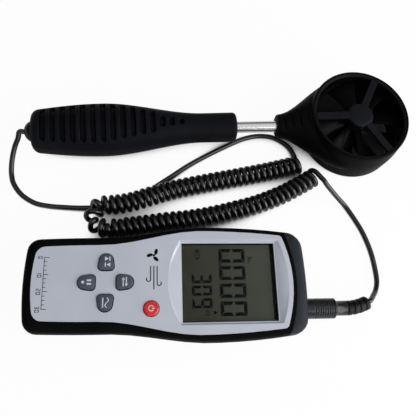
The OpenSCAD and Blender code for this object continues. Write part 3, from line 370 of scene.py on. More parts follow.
def make_handle_plastic():
    """Black plastic with painted shade in the grip's slots: darker and duller where little is open close
    by.
    """
    mat = plastic("handle_plastic", (0.0045, 0.0046, 0.006), (0.0065, 0.0067, 0.0088), (0.54, 0.64), FINE,
                  edge=(0.014, 0.014, 0.018))
    tree, shader = mat.node_tree, shader_of(mat)
    # Painted shade in the slots: colour darkens and gloss fades where little is open within a few
    # millimetres.
    clear = openness(tree, SLOT_SHADE, 8, only_local=True)
    recolour(tree, shader, spread(tree, clear, 1, 0, 0.5, 0.9), (0.0008, 0.0008, 0.001))
    tree.links.new(spread(tree, clear, 0, 0.05, 0.5, 0.9), shader.inputs["Specular IOR Level"])
    shader.inputs["Specular Tint"].default_value = (0.72, 0.8, 1, 1)
    return mat


def from_duct(tree):
    """How far a point lies from the duct's axis."""
    away = vector_step(tree, "SUBTRACT", from_object(tree), Vector(PROBE) * MM)
    flat = vector_step(tree, "MULTIPLY", away.outputs["Vector"], (1, 1, 0))
    return vector_step(tree, "LENGTH", flat.outputs["Vector"]).outputs["Value"]


def make_head():
    """Dull black plastic, glossy on the duct's bore."""
    mat = plastic("head_plastic", (0.0024, 0.0023, 0.0026), (0.0038, 0.0036, 0.004), (0.38, 0.48), FINE,
                  edge=(0.008, 0.0078, 0.0078))
    tree, shader = mat.node_tree, shader_of(mat)
    radius = from_duct(tree)
    past_bore = ((DUCT_R + 0.05) * MM, (DUCT_R + 0.3) * MM)
    tree.links.new(spread(tree, radius, 0.4, 0.022, *past_bore), shader.inputs["Specular IOR Level"])
    dull = shader.inputs["Roughness"].links[0].from_socket
    rough = joined(tree, "MULTIPLY", dull, spread(tree, radius, 0.4, 1, *past_bore))
    tree.links.new(rough, shader.inputs["Roughness"])
    return mat


def make_guard():
    """Slate hub and spokes that end in a ring as dark as the head."""
    mat = plastic("guard_plastic", (0.0062, 0.0066, 0.009), (0.0082, 0.0087, 0.012), (0.38, 0.48), FINE,
                  specular=0.06, edge=(0.022, 0.023, 0.029), edge_width=0.0004)
    tree, shader = mat.node_tree, shader_of(mat)
    rim = spread(tree, from_duct(tree), 0, 1, (RING_R - 0.6) * MM, RING_R * MM)
    recolour(tree, shader, rim, (0.0045, 0.0044, 0.0048))
    return mat


def make_lens():
    """A clear cover: a faint reflection over what lies under it, with a few smears in its gloss."""
    mat, tree, shader = material("lens")
    shader.inputs["Base Color"].default_value = (0.3, 0.32, 0.3, 1)
    shader.inputs["Metallic"].default_value = 1
    shader.inputs["Alpha"].default_value = 0.007
    tree.links.new(spread(tree, noise(tree, 90, 4), 0.04, 0.14), shader.inputs["Roughness"])
    return mat


def make_lcd():
    """A reflective display with a painted reflection that makes it lighter towards its head and duller at
    its foot, with a fine grain.
    """
    mat, tree, shader = material("lcd")
    # Painted reflection: the colour lightens along X from the display's foot to its head.
    rise = spread(tree, on_axis(tree, from_object(tree), "X"), 0, 0.75, LCD_FOOT_X, LCD_HEAD_X)
    drift = spread(tree, noise(tree, 45, 2), 0, 0.25)
    tone = ramp(tree, joined(tree, "ADD", rise, drift),
                [(0, (0.028, 0.0302, 0.0205)), (1, (0.062, 0.0668, 0.0548))])
    tree.links.new(tone, shader.inputs["Base Color"])
    tree.links.new(spread(tree, noise(tree, 2500, 2), 0.35, 0.5), shader.inputs["Roughness"])
    shader.inputs["Specular IOR Level"].default_value = 0.06
    bumps(tree, shader, [(7000, 0.000003, 1)])
    return mat


def make_key():
    """Slate keys whose sides below the rim are darker, as painted shade."""
    mat = plastic("key_plastic", (0.049, 0.061, 0.089), (0.06, 0.074, 0.106), (0.34, 0.44), FINE,
                  specular=0.3, patches=200, edge=(0.12, 0.13, 0.155), edge_width=0.0003)
    tree, shader = mat.node_tree, shader_of(mat)
    facing = tree.nodes.new("ShaderNodeNewGeometry").outputs["True Normal"]
    # Painted shade: faces that turn away from up, the key's sides, take a darker colour.
    painted_side_shade = spread(tree, on_axis(tree, facing, "Z"), 1, 0, 0.45, 0.8)
    recolour(tree, shader, painted_side_shade, (0.009, 0.0095, 0.013))
    return mat


looks = {name: plastic(name, **look) for name, look in plastics.items()}
looks.update({name: metal(name, **look) for name, look in metals.items()})
looks["handle_plastic"] = make_handle_plastic()
looks["key_plastic"] = make_key()
looks["guard_plastic"] = make_guard()
looks["head_plastic"] = make_head()
looks["lens"] = make_lens()
looks["lcd"] = make_lcd()


# Cord: plain lead from the probe, curls that fan out round their bend, and plain lead to the plug
CORD_D = 3.5
CURL_D = 13.6
CURL_R = (CURL_D - CORD_D) / 2
CURL_PITCH = 4.4
CURL_SPACE = 4.15
BEND_SPAN = 14
TIGHT_BEND = (0.01, 0.05)
ROW_REACH = (0.85, 0.25)
TABLE_GAP = 0.1
LEAD_Z = CORD_D / 2 + TABLE_GAP
TURN_STEPS = 20
AXIS_STEPS = 12
LEAD_STEPS = 8
curl_route = [
    (94, 88.8, 0), (88.2, 87.4, 0), (70.1, 82.9, 0), (48.1, 78.1, 0), (26.6, 73.6, 0), (5.1, 68.2, 1.4),
    (-12.4, 61.8, 3.9), (-20.2, 59.1, 3.9), (-26, 57.6, 3.9), (-30.8, 56.7, 3.9), (-35.1, 56.1, 3.9),
    (-39.2, 55.8, 3.9), (-43.15, 54.75, 3.9), (-46.05, 51.9, 3.9), (-47.1, 48, 3.9), (-46.05, 44.1, 3.9),
    (-43.15, 41.25, 3.9), (-39.2, 40.2, 3.9), (-35.1, 40.1, 3.9), (-30.8, 40.4, 3.7), (-26, 41.1, 2.8),
    (-19.4, 42.4, 1.4), (-10.4, 44.2, 0), (0.6, 45.8, 0), (13.6, 47.2, 0), (29.6, 50, 0), (46.6, 54.2, 0),
    (62.6, 58.8, 0), (80.2, 65.8, 0.8), (95.2, 73.6, 2.4), (104.2, 78.8, 3)]
probe_route = [
    (-98.6, 102.2, 13.2), (-101, 97.4, 9.8), (-102.7, 91.6, 6.4), (-103.5, 85.4, 3.6), (-103.2, 79.6, 2),
    (-101.2, 73.4, LEAD_Z), (-95.6, 66, LEAD_Z), (-87, 60.4, LEAD_Z), (-77.4, 58.2, LEAD_Z),
    (-67.4, 57.4, LEAD_Z), (-57.4, 57, LEAD_Z), (-47.4, 57.4, LEAD_Z), (-37.4, 58.8, LEAD_Z),
    (-27.4, 61.4, LEAD_Z), (-18.4, 65.2, LEAD_Z), (-10.4, 70.4, LEAD_Z), (-4.4, 74.9, LEAD_Z),
    (3.6, 80.5, LEAD_Z), (14.6, 88.4, LEAD_Z), (25.6, 95.2, LEAD_Z), (37.6, 101.9, LEAD_Z),
    (48.6, 107.6, LEAD_Z), (57.6, 111.5, LEAD_Z), (67.1, 113.6, LEAD_Z), (76.6, 113, LEAD_Z),
    (84.4, 109.4, LEAD_Z), (90, 104.2, LEAD_Z), (93, 97.8, LEAD_Z)]
plug_route = [
    (111, 70.6, 13.2), (116.1, 67, 9.2), (121.1, 63.5, 5.5), (125.9, 59.7, 2.7), (129.6, 54.4, LEAD_Z),
    (133.1, 47.8, LEAD_Z), (136.5, 40.4, LEAD_Z), (139.5, 30.9, LEAD_Z), (141.2, 22.4, LEAD_Z),
    (142, 13.2, 1.9), (141.4, 5, 3), (138.6, -1.4, 5.4), (134.6, -6, 8.8)]
GLAND_TIP_X = -229.5
PLUG_Y = -14.3
PLUG_Z = 14.5
NECK_X1 = 112.6
RELIEF_L = 15.4
RELIEF_SWING = 3.6
RELIEF_DROP = 1.9
RELIEF_R = (4.0, 3.8)
RELIEF_RIBS = 4
RIB_H = 0.7
RIB_SPAN = (0.14, 0.94)
RIB_FLANK = 0.12
TIP_FROM = 0.985
TIP_SINK = 0.5


def relief_point(t):
    return Vector((NECK_X1 + RELIEF_L * t, PLUG_Y + RELIEF_SWING * t * t, PLUG_Z - RELIEF_DROP * t * t))


def relief_along(t):
    return Vector((RELIEF_L, 2 * RELIEF_SWING * t, -2 * RELIEF_DROP * t)).normalized()


def curl_line():
    """The curls' points and the directions at both ends."""
    axis = curve([Vector((x, y, z + CURL_D / 2 + TABLE_GAP)) for x, y, z in curl_route], AXIS_STEPS)
    n = len(axis)
    along = [(axis[min(i + 1, n - 1)] - axis[max(i - 1, 0)]).normalized() for i in range(n)]
    rate, squeeze = [], []
    for i in range(n):
        a, b = max(i - BEND_SPAN, 0), min(i + BEND_SPAN, n - 1)
        bend = (along[b] - along[a]).length / (axis[b] - axis[a]).length
        rate.append(1 / max(CURL_PITCH, CURL_SPACE / 2 / max(1 - CURL_R * bend, 0.3)))
        squeeze.append(ease((bend - TIGHT_BEND[0]) / (TIGHT_BEND[1] - TIGHT_BEND[0])))
    total = [0]
    for i in range(n - 1):
        total.append(total[-1] + (axis[i + 1] - axis[i]).length * (rate[i] + rate[i + 1]) / 2)
    curls = math.floor(total[-1]) + 0.5
    turns = [t * curls / total[-1] for t in total]

    def between(values, turn):
        i = min(max(bisect.bisect_left(turns, turn) - 1, 0), n - 2)
        return lerp(values[i], values[i + 1], clamp((turn - turns[i]) / (turns[i + 1] - turns[i])))

    def axis_along(turn):
        return (between(axis, min(turn + 0.125, curls)) - between(axis, max(turn - 0.125, 0))).normalized()

    def outward(turn, angle, reach=1):
        """Across the axis at an angle; reach is the share of the radius on the inside of the bend."""
        d = axis_along(turn)
        side = Vector((-d.y, d.x, 0)).normalized()
        return lerp(-1, reach, (1 + math.cos(angle)) / 2) * side + Vector((0, 0, math.sin(angle)))

    def wire_along(turn):
        return (2 * math.pi * CURL_R * outward(turn, 2 * math.pi * turn)
                + CURL_PITCH * axis_along(turn)).normalized()

    def wire_point(turn):
        row = lerp(*ROW_REACH, (1 + math.cos(math.pi * (turn - 0.25))) / 2)
        reach = lerp(1, row, between(squeeze, turn))
        return between(axis, turn) + CURL_R * outward(turn, 2 * math.pi * turn - math.pi / 2, reach)

    count = round(curls * TURN_STEPS)
    wire = [wire_point(curls * i / count) for i in range(count + 1)]
    return wire, wire_along(0), wire_along(curls)


def lead_line(start, start_dir, route, end, end_dir):
    """A plain lead along its route, with the given directions at both ends."""
    first = [start, start + CORD_D * start_dir]
    final = [end - CORD_D * end_dir, end]
    return curve(first + [Vector(p) for p in route] + final, LEAD_STEPS)


def make_cord(relief):
    wire, first, final = curl_line()
    start = wire[0] - CORD_D * first
    end = wire[-1] + CORD_D * final
    gland_tip = on_probe((GLAND_TIP_X, 0, 0))
    gland_out = Vector((-math.cos(PROBE_TURN), -math.sin(PROBE_TURN), 0))
    line = lead_line(gland_tip, gland_out, probe_route, start, first) + wire \
        + lead_line(end, final, plug_route, relief_point(1), -relief_along(1))
    data = bpy.data.curves.new("cord", "CURVE")
    data.dimensions = "3D"
    data.bevel_depth = CORD_D / 2 * MM
    data.bevel_resolution = 5
    data.use_fill_caps = True
    spline = data.splines.new("POLY")
    spline.points.add(len(line) - 1)
    for point, p in zip(spline.points, line):
        point.co = (*(p * MM), 1)
    spline.use_smooth = True
    cord = bpy.data.objects.new("cord", data)
    bpy.context.scene.collection.objects.link(cord)
    data.materials.append(looks["cord_rubber"])
    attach(cord, ROOT)
    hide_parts("probe_lead", "curly_cord", "plug_lead")


def make_relief():
    """The ribbed strain relief behind the plug."""
    stations = 121
    sides = 48
    rings = []
    for i in range(stations):
        t = i / (stations - 1)
        part = t * RELIEF_RIBS % 1 if t < 1 else 0
        rise = ease((part - RIB_SPAN[0]) / RIB_FLANK) * ease((RIB_SPAN[1] - part) / RIB_FLANK)
        r = lerp(*RELIEF_R, t) + RIB_H * rise - TIP_SINK * ease((t - TIP_FROM) / (1 - TIP_FROM))
        d = relief_along(t)
        side = d.cross(Vector((0, 0, 1))).normalized()
        top = side.cross(d)
        rings.append([relief_point(t) + r * (c * side + s * top) for c, s in round_steps(sides)])
    verts, faces = skin(rings)
    return piece("strain_relief", verts, faces, looks["relief_rubber"],
                 replaced=("plug_relief",))


make_cord(make_relief())


# Shading of the CAD nodes: welded, and smooth except over real edges
WELD = 2e-6
EDGE_ANGLE = 34
CRISP_EDGE_ANGLE = 6
SPECIAL = {"cord_gland": "relief_rubber", "plug_body": "plug_plastic"}


def smoothing(angle):
    """A node group that welds a mesh and shades it smooth over edges of less than this many degrees."""
    group = bpy.data.node_groups.new("smooth_over_facets", "GeometryNodeTree")
    group.interface.new_socket("Geometry", in_out="INPUT", socket_type="NodeSocketGeometry")
    group.interface.new_socket("Geometry", in_out="OUTPUT", socket_type="NodeSocketGeometry")
    new, link = group.nodes.new, group.links.new
    drop = new("GeometryNodeRemoveAttribute")
    drop.inputs["Name"].default_value = "custom_normal"
    weld = new("GeometryNodeMergeByDistance")
    weld.inputs["Distance"].default_value = WELD
    faces = new("GeometryNodeSetShadeSmooth")
    faces.domain = "FACE"
    edges = new("GeometryNodeSetShadeSmooth")
    edges.domain = "EDGE"
    less = new("FunctionNodeCompare")
    less.operation = "LESS_THAN"
    less.inputs[1].default_value = math.radians(angle)
    link(new("GeometryNodeInputMeshEdgeAngle").outputs["Unsigned Angle"], less.inputs[0])
    link(less.outputs[0], edges.inputs["Shade Smooth"])
    chain = [new("NodeGroupInput"), drop, weld, faces, edges, new("NodeGroupOutput")]
    for a, b in zip(chain, chain[1:]):
        link(a.outputs[0], b.inputs[0])
    return group


plain_smooth = smoothing(EDGE_ANGLE)
crisp_smooth = smoothing(CRISP_EDGE_ANGLE)
for name, obj in nodes.items():
    slot_name = obj.material_slots[0].material.name.split(".")[0]
    obj.material_slots[0].material = looks[SPECIAL.get(name, slot_name)]
    modifier = obj.modifiers.new("smooth", "NODES")
    modifier.node_group = crisp_smooth if name == "face_panel" else plain_smooth


# Handle: one crowned form with slots that have rounded ends, a seam on each side and two screw wells
HANDLE_L = 138
HANDLE_WIDTHS = (28, 35.4, 19.6, 19.8)
HANDLE_HEIGHTS = (24, 31, 19.6, 19.8)
BUTT_X = -225
BUTT_ROUND = 5
NOSE_ROUND = 2.5
BELLY_U = 48
WAIST_U = 114
CROWN = 0.88
FIRST_SLOT = 8.4
SLOTS = 12
DIMPLES = 3
SLOT_PITCH = 6.5
SLOT_W = 3.4
SLOT_DEPTH = 1.8
SLOT_LIP = 0.35
SLOT_MARGIN = (3.2, 6)
MARGIN_U = (44, 78)
DIMPLE_REACH = 4.2
DIMPLE_LOSS = 1.1
SEAM_DEGREES = (0, 0.4, 0.9, 1.6)
SEAM_DEPTH = 0.22
SEAM_EDGE = (0.4, 0.9)
RING_STEP = 2.25
SCREWS = ((22, 10), (70, -10))
SCREW_R = 2.5
SCREW_SEAT = -7
UNDER = -40


def cut(obj, part):
    """Take a closed shape in millimetres out of a piece."""
    mesh = bpy.data.meshes.new("cutter")
    mesh.from_pydata([Vector(v) * MM for v in part[0]], [], part[1])
    cutter = bpy.data.objects.new("cutter", mesh)
    bpy.context.scene.collection.objects.link(cutter)
    modifier = obj.modifiers.new("cut", "BOOLEAN")
    modifier.operation = "DIFFERENCE"
    modifier.solver = "EXACT"
    modifier.object = cutter
    bpy.context.view_layer.update()
    done = bpy.data.meshes.new_from_object(obj.evaluated_get(bpy.context.evaluated_depsgraph_get()))
    obj.modifiers.remove(modifier)
    obj.data = done
    bpy.data.objects.remove(cutter)


def rounded_end(u, r):
    """How much an end of radius r draws in at a distance u from its tip."""
    return 0 if u >= r else r - math.sqrt(max(r * r - (r - u) ** 2, 0))


def handle_half(u, butt, belly, waist, nose):
    """Half the handle's size at u, from its full sizes at four places along it."""
    if u < BELLY_U:
        size = lerp(butt, belly, math.sin(math.pi / 2 * u / BELLY_U))
    elif u < WAIST_U:
        size = lerp(belly, waist, ease((u - BELLY_U) / (WAIST_U - BELLY_U)))
    else:
        size = lerp(waist, nose, ease((u - WAIST_U) / (HANDLE_L - NOSE_ROUND - WAIST_U)))
    return size / 2 - rounded_end(u, BUTT_ROUND) - rounded_end(HANDLE_L - u, NOSE_ROUND)


def handle_width(u):
    return handle_half(u, *HANDLE_WIDTHS)


def handle_height(u):
    return handle_half(u, *HANDLE_HEIGHTS)


def crowned(v):
    return math.copysign(abs(v) ** CROWN, v)


def grip_slots():
    """Each slot's place along the handle and its reach to both sides; small dimples follow the slots."""
    places = [FIRST_SLOT + i * SLOT_PITCH for i in range(SLOTS + DIMPLES)]
    slots = []
    for u in places[:SLOTS]:
        share = clamp((u - MARGIN_U[0]) / (MARGIN_U[1] - MARGIN_U[0]))
        slots.append((u, handle_width(u) - lerp(*SLOT_MARGIN, share)))
    return slots + [(u, DIMPLE_REACH - DIMPLE_LOSS * i) for i, u in enumerate(places[SLOTS:])]


def from_seam(degrees):
    return min(degrees % 180, 180 - degrees % 180)


def dent(u, y, degrees, slots):
    """How deep a slot or the seam lies below the crown."""
    depth = 0
    for at, reach in slots:
        if abs(u - at) < SLOT_W:
            over = max(abs(y) - (reach - SLOT_W / 2), 0)
            away = math.hypot(u - at, over) - SLOT_W / 2
            depth = max(depth, SLOT_DEPTH * ease((SLOT_LIP - away) / (2 * SLOT_LIP)))
    seam = ease((SEAM_EDGE[1] - from_seam(degrees)) / (SEAM_EDGE[1] - SEAM_EDGE[0]))
    return depth + SEAM_DEPTH * seam


def make_handle():
    slots = grip_slots()
    on_seam = {(side + sign * s) % 360 for side in (0, 180) for sign in (-1, 1) for s in SEAM_DEGREES}
    around = {i * RING_STEP for i in range(round(360 / RING_STEP)) if from_seam(i * RING_STEP) > 2}
    angles = sorted(on_seam | around)
    stations = [0, 0.08, 0.3, 0.7, 1.2, 1.8, 2.6] + [3 + 0.4 * i for i in range(331)] \
        + [135.5, 136.2, 136.8, 137.3, 137.7, 137.92, HANDLE_L]
    rings = []
    for u in stations:
        w, h = handle_width(u), handle_height(u)
        ring = []
        for degrees in angles:
            a = math.radians(degrees)
            y, z = w * crowned(math.cos(a)), h * crowned(math.sin(a))
            left = 1 - dent(u, y, degrees, slots) / max(math.hypot(y, z), 0.01)
            ring.append(on_probe((BUTT_X + u, y * left, z * left)))
        rings.append(ring)
    verts, faces = skin(rings)
    handle = piece("handle", verts, faces, looks["handle_plastic"],
                   replaced=("handle_upper", "handle_lower"), sharp=60)
    for u, y in SCREWS:
        cut(handle, lathe([(SCREW_R, UNDER), (SCREW_R, SCREW_SEAT)], 40,
                          lambda p: on_probe((BUTT_X + u + p[0], y + p[1], p[2]))))


make_handle()


# Impeller: twisted, cambered blades with rounded edges on a hub with a rounded rim
BLADES = 8
BLADE_TURN = 14
BLADE_PITCH = (50, 24)
BLADE_T = 1.0
EDGE_POWER = 8
EDGE_LEAST = 0.04
CAMBER = 1.6
TIP_CHORD = 26
ROOT_CHORD_SHARE = 0.44
TIP_R = 31.8
HUB_R = 7.5
ROOT_SINK = 1.2
WHEEL_H = 12
SECTION_POINTS = 13
BLADE_STATIONS = 17


def blade_ring(share, turn):
    """A blade's section at a share of the way from its root to its tip, wrapped round the axle."""
    r = lerp(HUB_R - ROOT_SINK, TIP_R, share)
    pitch = math.radians(lerp(*BLADE_PITCH, share))
    chord = lerp(ROOT_CHORD_SHARE, 1, share) * TIP_CHORD
    upper, lower = [], []
    for i in range(SECTION_POINTS):
        t = -0.5 * math.cos(math.pi * i / (SECTION_POINTS - 1))
        half = BLADE_T / 2 * math.sqrt(max(1 - (2 * abs(t)) ** EDGE_POWER, EDGE_LEAST))
        mid = CAMBER * (1 - 4 * t * t)
        upper.append((t * chord, mid + half))
        lower.append((t * chord, mid - half))
    ring = []
    for x, lift in upper + lower[::-1]:
        y = x * math.cos(pitch) - lift * math.sin(pitch)
        z = x * math.sin(pitch) + lift * math.cos(pitch)
        out = math.sqrt(max(r * r - y * y, 1))
        ring.append(on_probe((out * math.cos(turn) + y * math.sin(turn),
                              out * math.sin(turn) - y * math.cos(turn),
                              min(max(z, -WHEEL_H / 2), WHEEL_H / 2))))
    return ring


def make_impeller():
    parts = []
    for b in range(BLADES):
        turn = math.radians(360 * b / BLADES + BLADE_TURN)
        parts.append(skin([blade_ring(s / (BLADE_STATIONS - 1), turn) for s in range(BLADE_STATIONS)]))
    half = [(0.85, -6), (6.6, -6), (7.1, -5.86), (7.4, -5.5), (HUB_R, -5)]
    parts.append(lathe(half + [(r, -z) for r, z in reversed(half)], 72, on_probe))
    verts, faces = [], []
    for part_verts, part_faces in parts:
        base = len(verts)
        verts.extend(part_verts)
        faces.extend(tuple(base + i for i in face) for face in part_faces)
    piece("vane_wheel", verts, faces, looks["vane_plastic"], body="impeller",
          replaced=("impeller",), sharp=45)


make_impeller()


# Ink on the display, the keys and the panel, and a painted shadow at the display's edges: flat shapes, read
# along -Y with their top towards +X
INK_H = 0.02
LCD_Z = 29.6 + INK_H
KEY_Z = 34.5 + INK_H
PANEL_Z = 33.2 + INK_H
WINDOW = (7.6, 23.8)
WINDOW_L = 57
STRIP_W = 2.3
LINE_W = 0.7
MARK_SCALE = 1.7
POWER = (-10.5, -15.6)
POWER_R = 3.7
POWER_TOP = 34.7
POWER_FALL = 0.3
POWER_INK_H = 0.03
SEGMENTS = {"0": "abcdef", "1": "bc", "2": "abged", "3": "abgcd", "4": "fgbc", "5": "afgcd", "6": "afgedc",
            "7": "abc", "8": "abcdefg", "9": "abcdfg"}


def ink(name, polygons, origin, z, look, body=ROOT):
    """Polygons of (across, up) points round an origin on the face, as one thin flat layer: ink, and at the
    display's edges painted shadow.
    """
    verts, faces = [], []
    for polygon in polygons:
        base = len(verts)
        for a, b in polygon:
            x, y = origin[0] + b, origin[1] - a
            verts.append((x, y, z(x, y) if callable(z) else z))
        faces.append(tuple(range(base, base + len(polygon))))
    piece(name, verts, faces, looks[look], body)


def box(a0, b0, a1, b1):
    return [(a0, b0), (a1, b0), (a1, b1), (a0, b1)]


def disc(r, steps=16):
    return [(r * s, r * c) for c, s in round_steps(steps)]


def ring_part(r0, r1, start, end, steps):
    """Quads of a ring between two angles in degrees, measured from the upward direction."""
    shapes = []
    for i in range(steps):
        s, e = (math.radians(lerp(start, end, k / steps)) for k in (i, i + 1))
        shapes.append([(r0 * math.sin(s), r0 * math.cos(s)), (r1 * math.sin(s), r1 * math.cos(s)),
                       (r1 * math.sin(e), r1 * math.cos(e)), (r0 * math.sin(e), r0 * math.cos(e))])
    return shapes


def stroke(line, width):
    """Quads along a line that runs mainly across."""
    return [[(a, b - width / 2), (c, d - width / 2), (c, d + width / 2), (a, b + width / 2)]
            for (a, b), (c, d) in zip(line, line[1:])]


def moved(polygons, a, b, scale=1):
    return [[(a + scale * p, b + scale * q) for p, q in polygon] for polygon in polygons]


def digit(char, a0, b0, w, h, t):
    """The lit segments of a digit whose lower left corner is (a0, b0), with mitred ends."""
    gap = 0.12 * t
    mid = h / 2
    upper = [(0, h - gap), (t, h - t - gap), (t, mid + t / 2 + gap), (0, mid + gap)]
    lower = [(0, mid - gap), (t, mid - t / 2 - gap), (t, t + gap), (0, gap)]
    middle = [(t / 2 + gap, mid), (t + gap, mid + t / 2), (w - t - gap, mid + t / 2),
              (w - t / 2 - gap, mid), (w - t - gap, mid - t / 2), (t + gap, mid - t / 2)]
    forms = {"a": [(gap, h), (w - gap, h), (w - t - gap, h - t), (t + gap, h - t)],
             "b": [(w - a, b) for a, b in upper], "c": [(w - a, b) for a, b in lower],
             "d": [(gap, 0), (w - gap, 0), (w - t - gap, t), (t + gap, t)],
             "e": lower, "f": upper, "g": middle}
    return [[(a0 + a, b0 + b) for a, b in forms[name]] for name in SEGMENTS[char]]


def number(text, a0, pitch, **size):
    """Digits in a row, each one pitch further across."""
    return [polygon for i, char in enumerate(text) for polygon in digit(char, a0 + pitch * i, **size)]


def make_display():
    digits = number("0000", 3.1, 10.75, b0=22.7, w=8.6, h=16.1, t=2.1)
    digits.append(box(12.1, 22.7, 13.4, 24))
    digits += number("309", 18.2, 7.5, b0=5.9, w=5.9, h=12.1, t=1.65)
    ink("display_digits", digits, WINDOW, LCD_Z, "ink_black")
    # A dark band at the window's end by the display's head and thin lines along one side and the foot:
    # partly the display's dark edge and partly a painted shadow of the window's walls.
    width = 2 * WINDOW[1]
    edge_and_shadow = [box(0, WINDOW_L - STRIP_W, width, WINDOW_L), box(0, 0, LINE_W, WINDOW_L - STRIP_W),
              box(LINE_W, 0, width, LINE_W / 2)]
    ink("display_edge_and_shadow", edge_and_shadow, WINDOW, LCD_Z, "ink_black")
    battery = [box(0, 0, 4, 0.3), box(0, 1.7, 4, 2), box(0, 0.3, 0.3, 1.7), box(3.7, 0.3, 4, 1.7),
               box(4, 0.6, 4.4, 1.4), box(0.6, 0.5, 1.5, 1.5)]
    dial = moved(ring_part(0.5, 0.95, 0, 360, 16), 41.2, 15) + [box(42.8, 13.7, 43.4, 16.3)]
    pointer = [(40.4, 18.6), (43.2, 18.6), (41.8, 20.8)]
    bars = [box(8.2 + 1.5 * i, 40.6, 8.9 + 1.5 * i, 43.4 - 0.8 * i) for i in range(3)]
    signs = moved(battery, 3.4, 8.2, 1.4) + dial + [pointer] + bars
    ink("display_signs", signs, WINDOW, LCD_Z, "ink_black")


def make_key_marks():
    wave = [(-1.7 + 0.17 * i, 0.6 + 0.55 * math.sin(2 * math.pi * i / 20)) for i in range(21)]
    up_down = [[(-1.8, -0.4), (-0.3, -0.4), (-1.05, 0.9)], box(-1.8, 1.1, -0.3, 1.45),
               [(0.3, 1.45), (1.8, 1.45), (1.05, 0.15)], box(0.3, -0.4, 1.8, -0.05)]
    to_and_fro = [box(-1.6, 0.35, 0.8, 0.7), [(0.7, -0.05), (1.6, 0.52), (0.7, 1.1)],
                  box(-0.8, -0.7, 1.6, -0.35), [(-0.7, -1.1), (-1.6, -0.52), (-0.7, 0.05)]]
    pause = [box(-0.9, 0.2, -0.3, 1.7), box(0.3, 0.2, 0.9, 1.7)] + moved([disc(0.5)], 0, -1.1)
    mean = stroke(wave, 0.36) + [box(-1.7, -0.9, 1.7, -0.55)]
    marks = {"max_min_key": ((-36.8, 12), up_down), "unit_key": ((-25.8, 0), to_and_fro),
             "hold_key": ((-47.8, 0), pause), "average_key": ((-36.8, -12), mean)}
    for key, (place, polygons) in marks.items():
        ink(key + "_mark", moved(polygons, 0, 0, MARK_SCALE), place, KEY_Z, "ink_white", key)


def power_top(x, y):
    """The height of ink on the power key, whose top falls from its middle to its rim."""
    r = math.hypot(x - POWER[0], y - POWER[1])
    return POWER_TOP - POWER_FALL * r / POWER_R + POWER_INK_H


def make_power_mark():
    sign = ring_part(1.25, 1.75, 38, 322, 28) + [box(-0.25, 0.4, 0.25, 2.1)]
    ink("power_mark", sign, POWER, power_top, "ink_white", "power_key")


def petal(angle):
    """A fan's blade: an oval set off the middle and turned a little."""
    place = Vector((2.5 * math.cos(angle), 2.5 * math.sin(angle)))
    lean = Vector((math.cos(angle + 0.35), math.sin(angle + 0.35)))
    across = Vector((-lean.y, lean.x))
    return [place + 1.9 * c * lean + 1.05 * s * across for c, s in round_steps(18)]


def make_print():
    """A fan with wind lines beside the power key, and a plain scale at the panel's foot."""
    fan = moved([petal(2 * math.pi * i / 3 + 0.5) for i in range(3)] + [disc(0.75)], -12, 0)
    wind = [box(-5.5, 1.6, 5, 2.2), box(-5.5, -0.3, 8.5, 0.3), box(-5.5, -2.2, 2.5, -1.6)]
    upper_curl = moved(ring_part(0.9, 1.5, 180, -50, 14), 5, 3.1)
    lower_curl = moved(ring_part(0.9, 1.5, 0, 230, 14), 2.5, -3.1)
    ink("panel_sign", fan + wind + upper_curl + lower_curl, (-9, 4), PANEL_Z, "ink_black")
    scale = [box(-15.2, -0.35, 15.2, 0)]
    for i in range(13):
        at = -15 + 2.5 * i
        scale.append(box(at - 0.18, 0, at + 0.18, 1.5 if i % 4 else 2.6))
    for i, text in enumerate(("0", "10", "20", "30")):
        scale += number(text, -15 + 10 * i - len(text) + 0.25, 2, b0=-3.7, w=1.5, h=2.5, t=0.4)
    ink("panel_scale", scale, (-72, 0), PANEL_Z, "ink_black")


make_display()
make_key_marks()
make_power_mark()
make_print()


# Stage: a pale floor that stays white where it is open, keeps a soft shadow and has painted shade in gaps,
# a sky that is pale at the horizon, dark above it and pale again overhead, and two soft lamps
FLOOR_Z = -0.0003
FLOOR_REACH = 3
# Floor colours by openness: painted shade in gaps, pale where open.
FLOOR_SHADE_TONES = [(0.1, (0.2, 0.2, 0.2)), (0.4, (0.86, 0.86, 0.86))]
FLOOR_GLOW = 0.95
GAP_REACH = 0.06
GLOW_FADES = {"Is Camera Ray": (0.15, 0.4), "Is Transmission Ray": (0.15, 0.4), "Is Glossy Ray": (0.4, 0.9)}
SKY = ((0, 0.96), (0.1, 0.9), (0.2, 0.1), (0.55, 0.12), (0.8, 0.42), (0.92, 0.8), (1, 0.85))
LAMPS = (("key_lamp", (0.85, -0.32, 0.38), 1.2, 17.5), ("fill_lamp", (-0.1, -1.0, 0.35), 0.8, 1.8))
LAMP_TARGET = Vector((0.03, 0.03, 0.02))


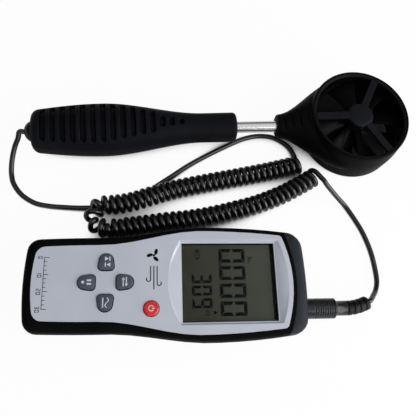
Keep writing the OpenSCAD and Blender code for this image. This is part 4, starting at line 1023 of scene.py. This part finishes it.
def floor_material():
    """Pale with painted shade in gaps, and a glow for three kinds of rays that fades in gaps, and for
    glossy rays more widely.
    """
    mat = bpy.data.materials.new("floor")
    mat.use_nodes = True
    tree = mat.node_tree
    tree.nodes.clear()
    clear = openness(tree, GAP_REACH, 24)
    diffuse = tree.nodes.new("ShaderNodeBsdfDiffuse")
    # Painted shade: the floor's colour falls from pale to dark grey in gaps and under the part, where
    # little is open around it.
    tree.links.new(ramp(tree, clear, FLOOR_SHADE_TONES), diffuse.inputs["Color"])
    glow = tree.nodes.new("ShaderNodeEmission")
    path = tree.nodes.new("ShaderNodeLightPath")
    share = None
    for ray, fade in GLOW_FADES.items():
        seen = joined(tree, "MULTIPLY", path.outputs[ray], spread(tree, clear, 0, FLOOR_GLOW, *fade))
        share = joined(tree, "MAXIMUM", share, seen) if share else seen
    mix = tree.nodes.new("ShaderNodeMixShader")
    out = tree.nodes.new("ShaderNodeOutputMaterial")
    tree.links.new(share, mix.inputs[0])
    tree.links.new(diffuse.outputs[0], mix.inputs[1])
    tree.links.new(glow.outputs[0], mix.inputs[2])
    tree.links.new(mix.outputs[0], out.inputs["Surface"])
    return mat


def make_floor():
    mesh = bpy.data.meshes.new("floor")
    corners = [(x * FLOOR_REACH, y * FLOOR_REACH, FLOOR_Z) for x, y in ((-1, -1), (1, -1), (1, 1), (-1, 1))]
    mesh.from_pydata(corners, [], [(0, 1, 2, 3)])
    mesh.materials.append(floor_material())
    floor = bpy.data.objects.new("floor", mesh)
    bpy.context.scene.collection.objects.link(floor)


def make_world():
    world = bpy.data.worlds.new("studio")
    bpy.context.scene.world = world
    world.use_nodes = True
    tree = world.node_tree
    tree.nodes.clear()
    height = on_axis(tree, tree.nodes.new("ShaderNodeTexCoord").outputs["Generated"], "Z")
    sky = tree.nodes.new("ShaderNodeBackground")
    tree.links.new(ramp(tree, height, [(at, (tone, tone, tone)) for at, tone in SKY]), sky.inputs["Color"])
    out = tree.nodes.new("ShaderNodeOutputWorld")
    tree.links.new(sky.outputs[0], out.inputs["Surface"])


def make_lamps():
    for name, place, size, power in LAMPS:
        data = bpy.data.lights.new(name, "AREA")
        data.size = size
        data.energy = power
        lamp = bpy.data.objects.new(name, data)
        lamp.location = place
        lamp.rotation_euler = (LAMP_TARGET - Vector(place)).to_track_quat("-Z", "Y").to_euler()
        bpy.context.scene.collection.objects.link(lamp)


make_floor()
make_world()
make_lamps()
bpy.context.scene.view_settings.view_transform = "Standard"
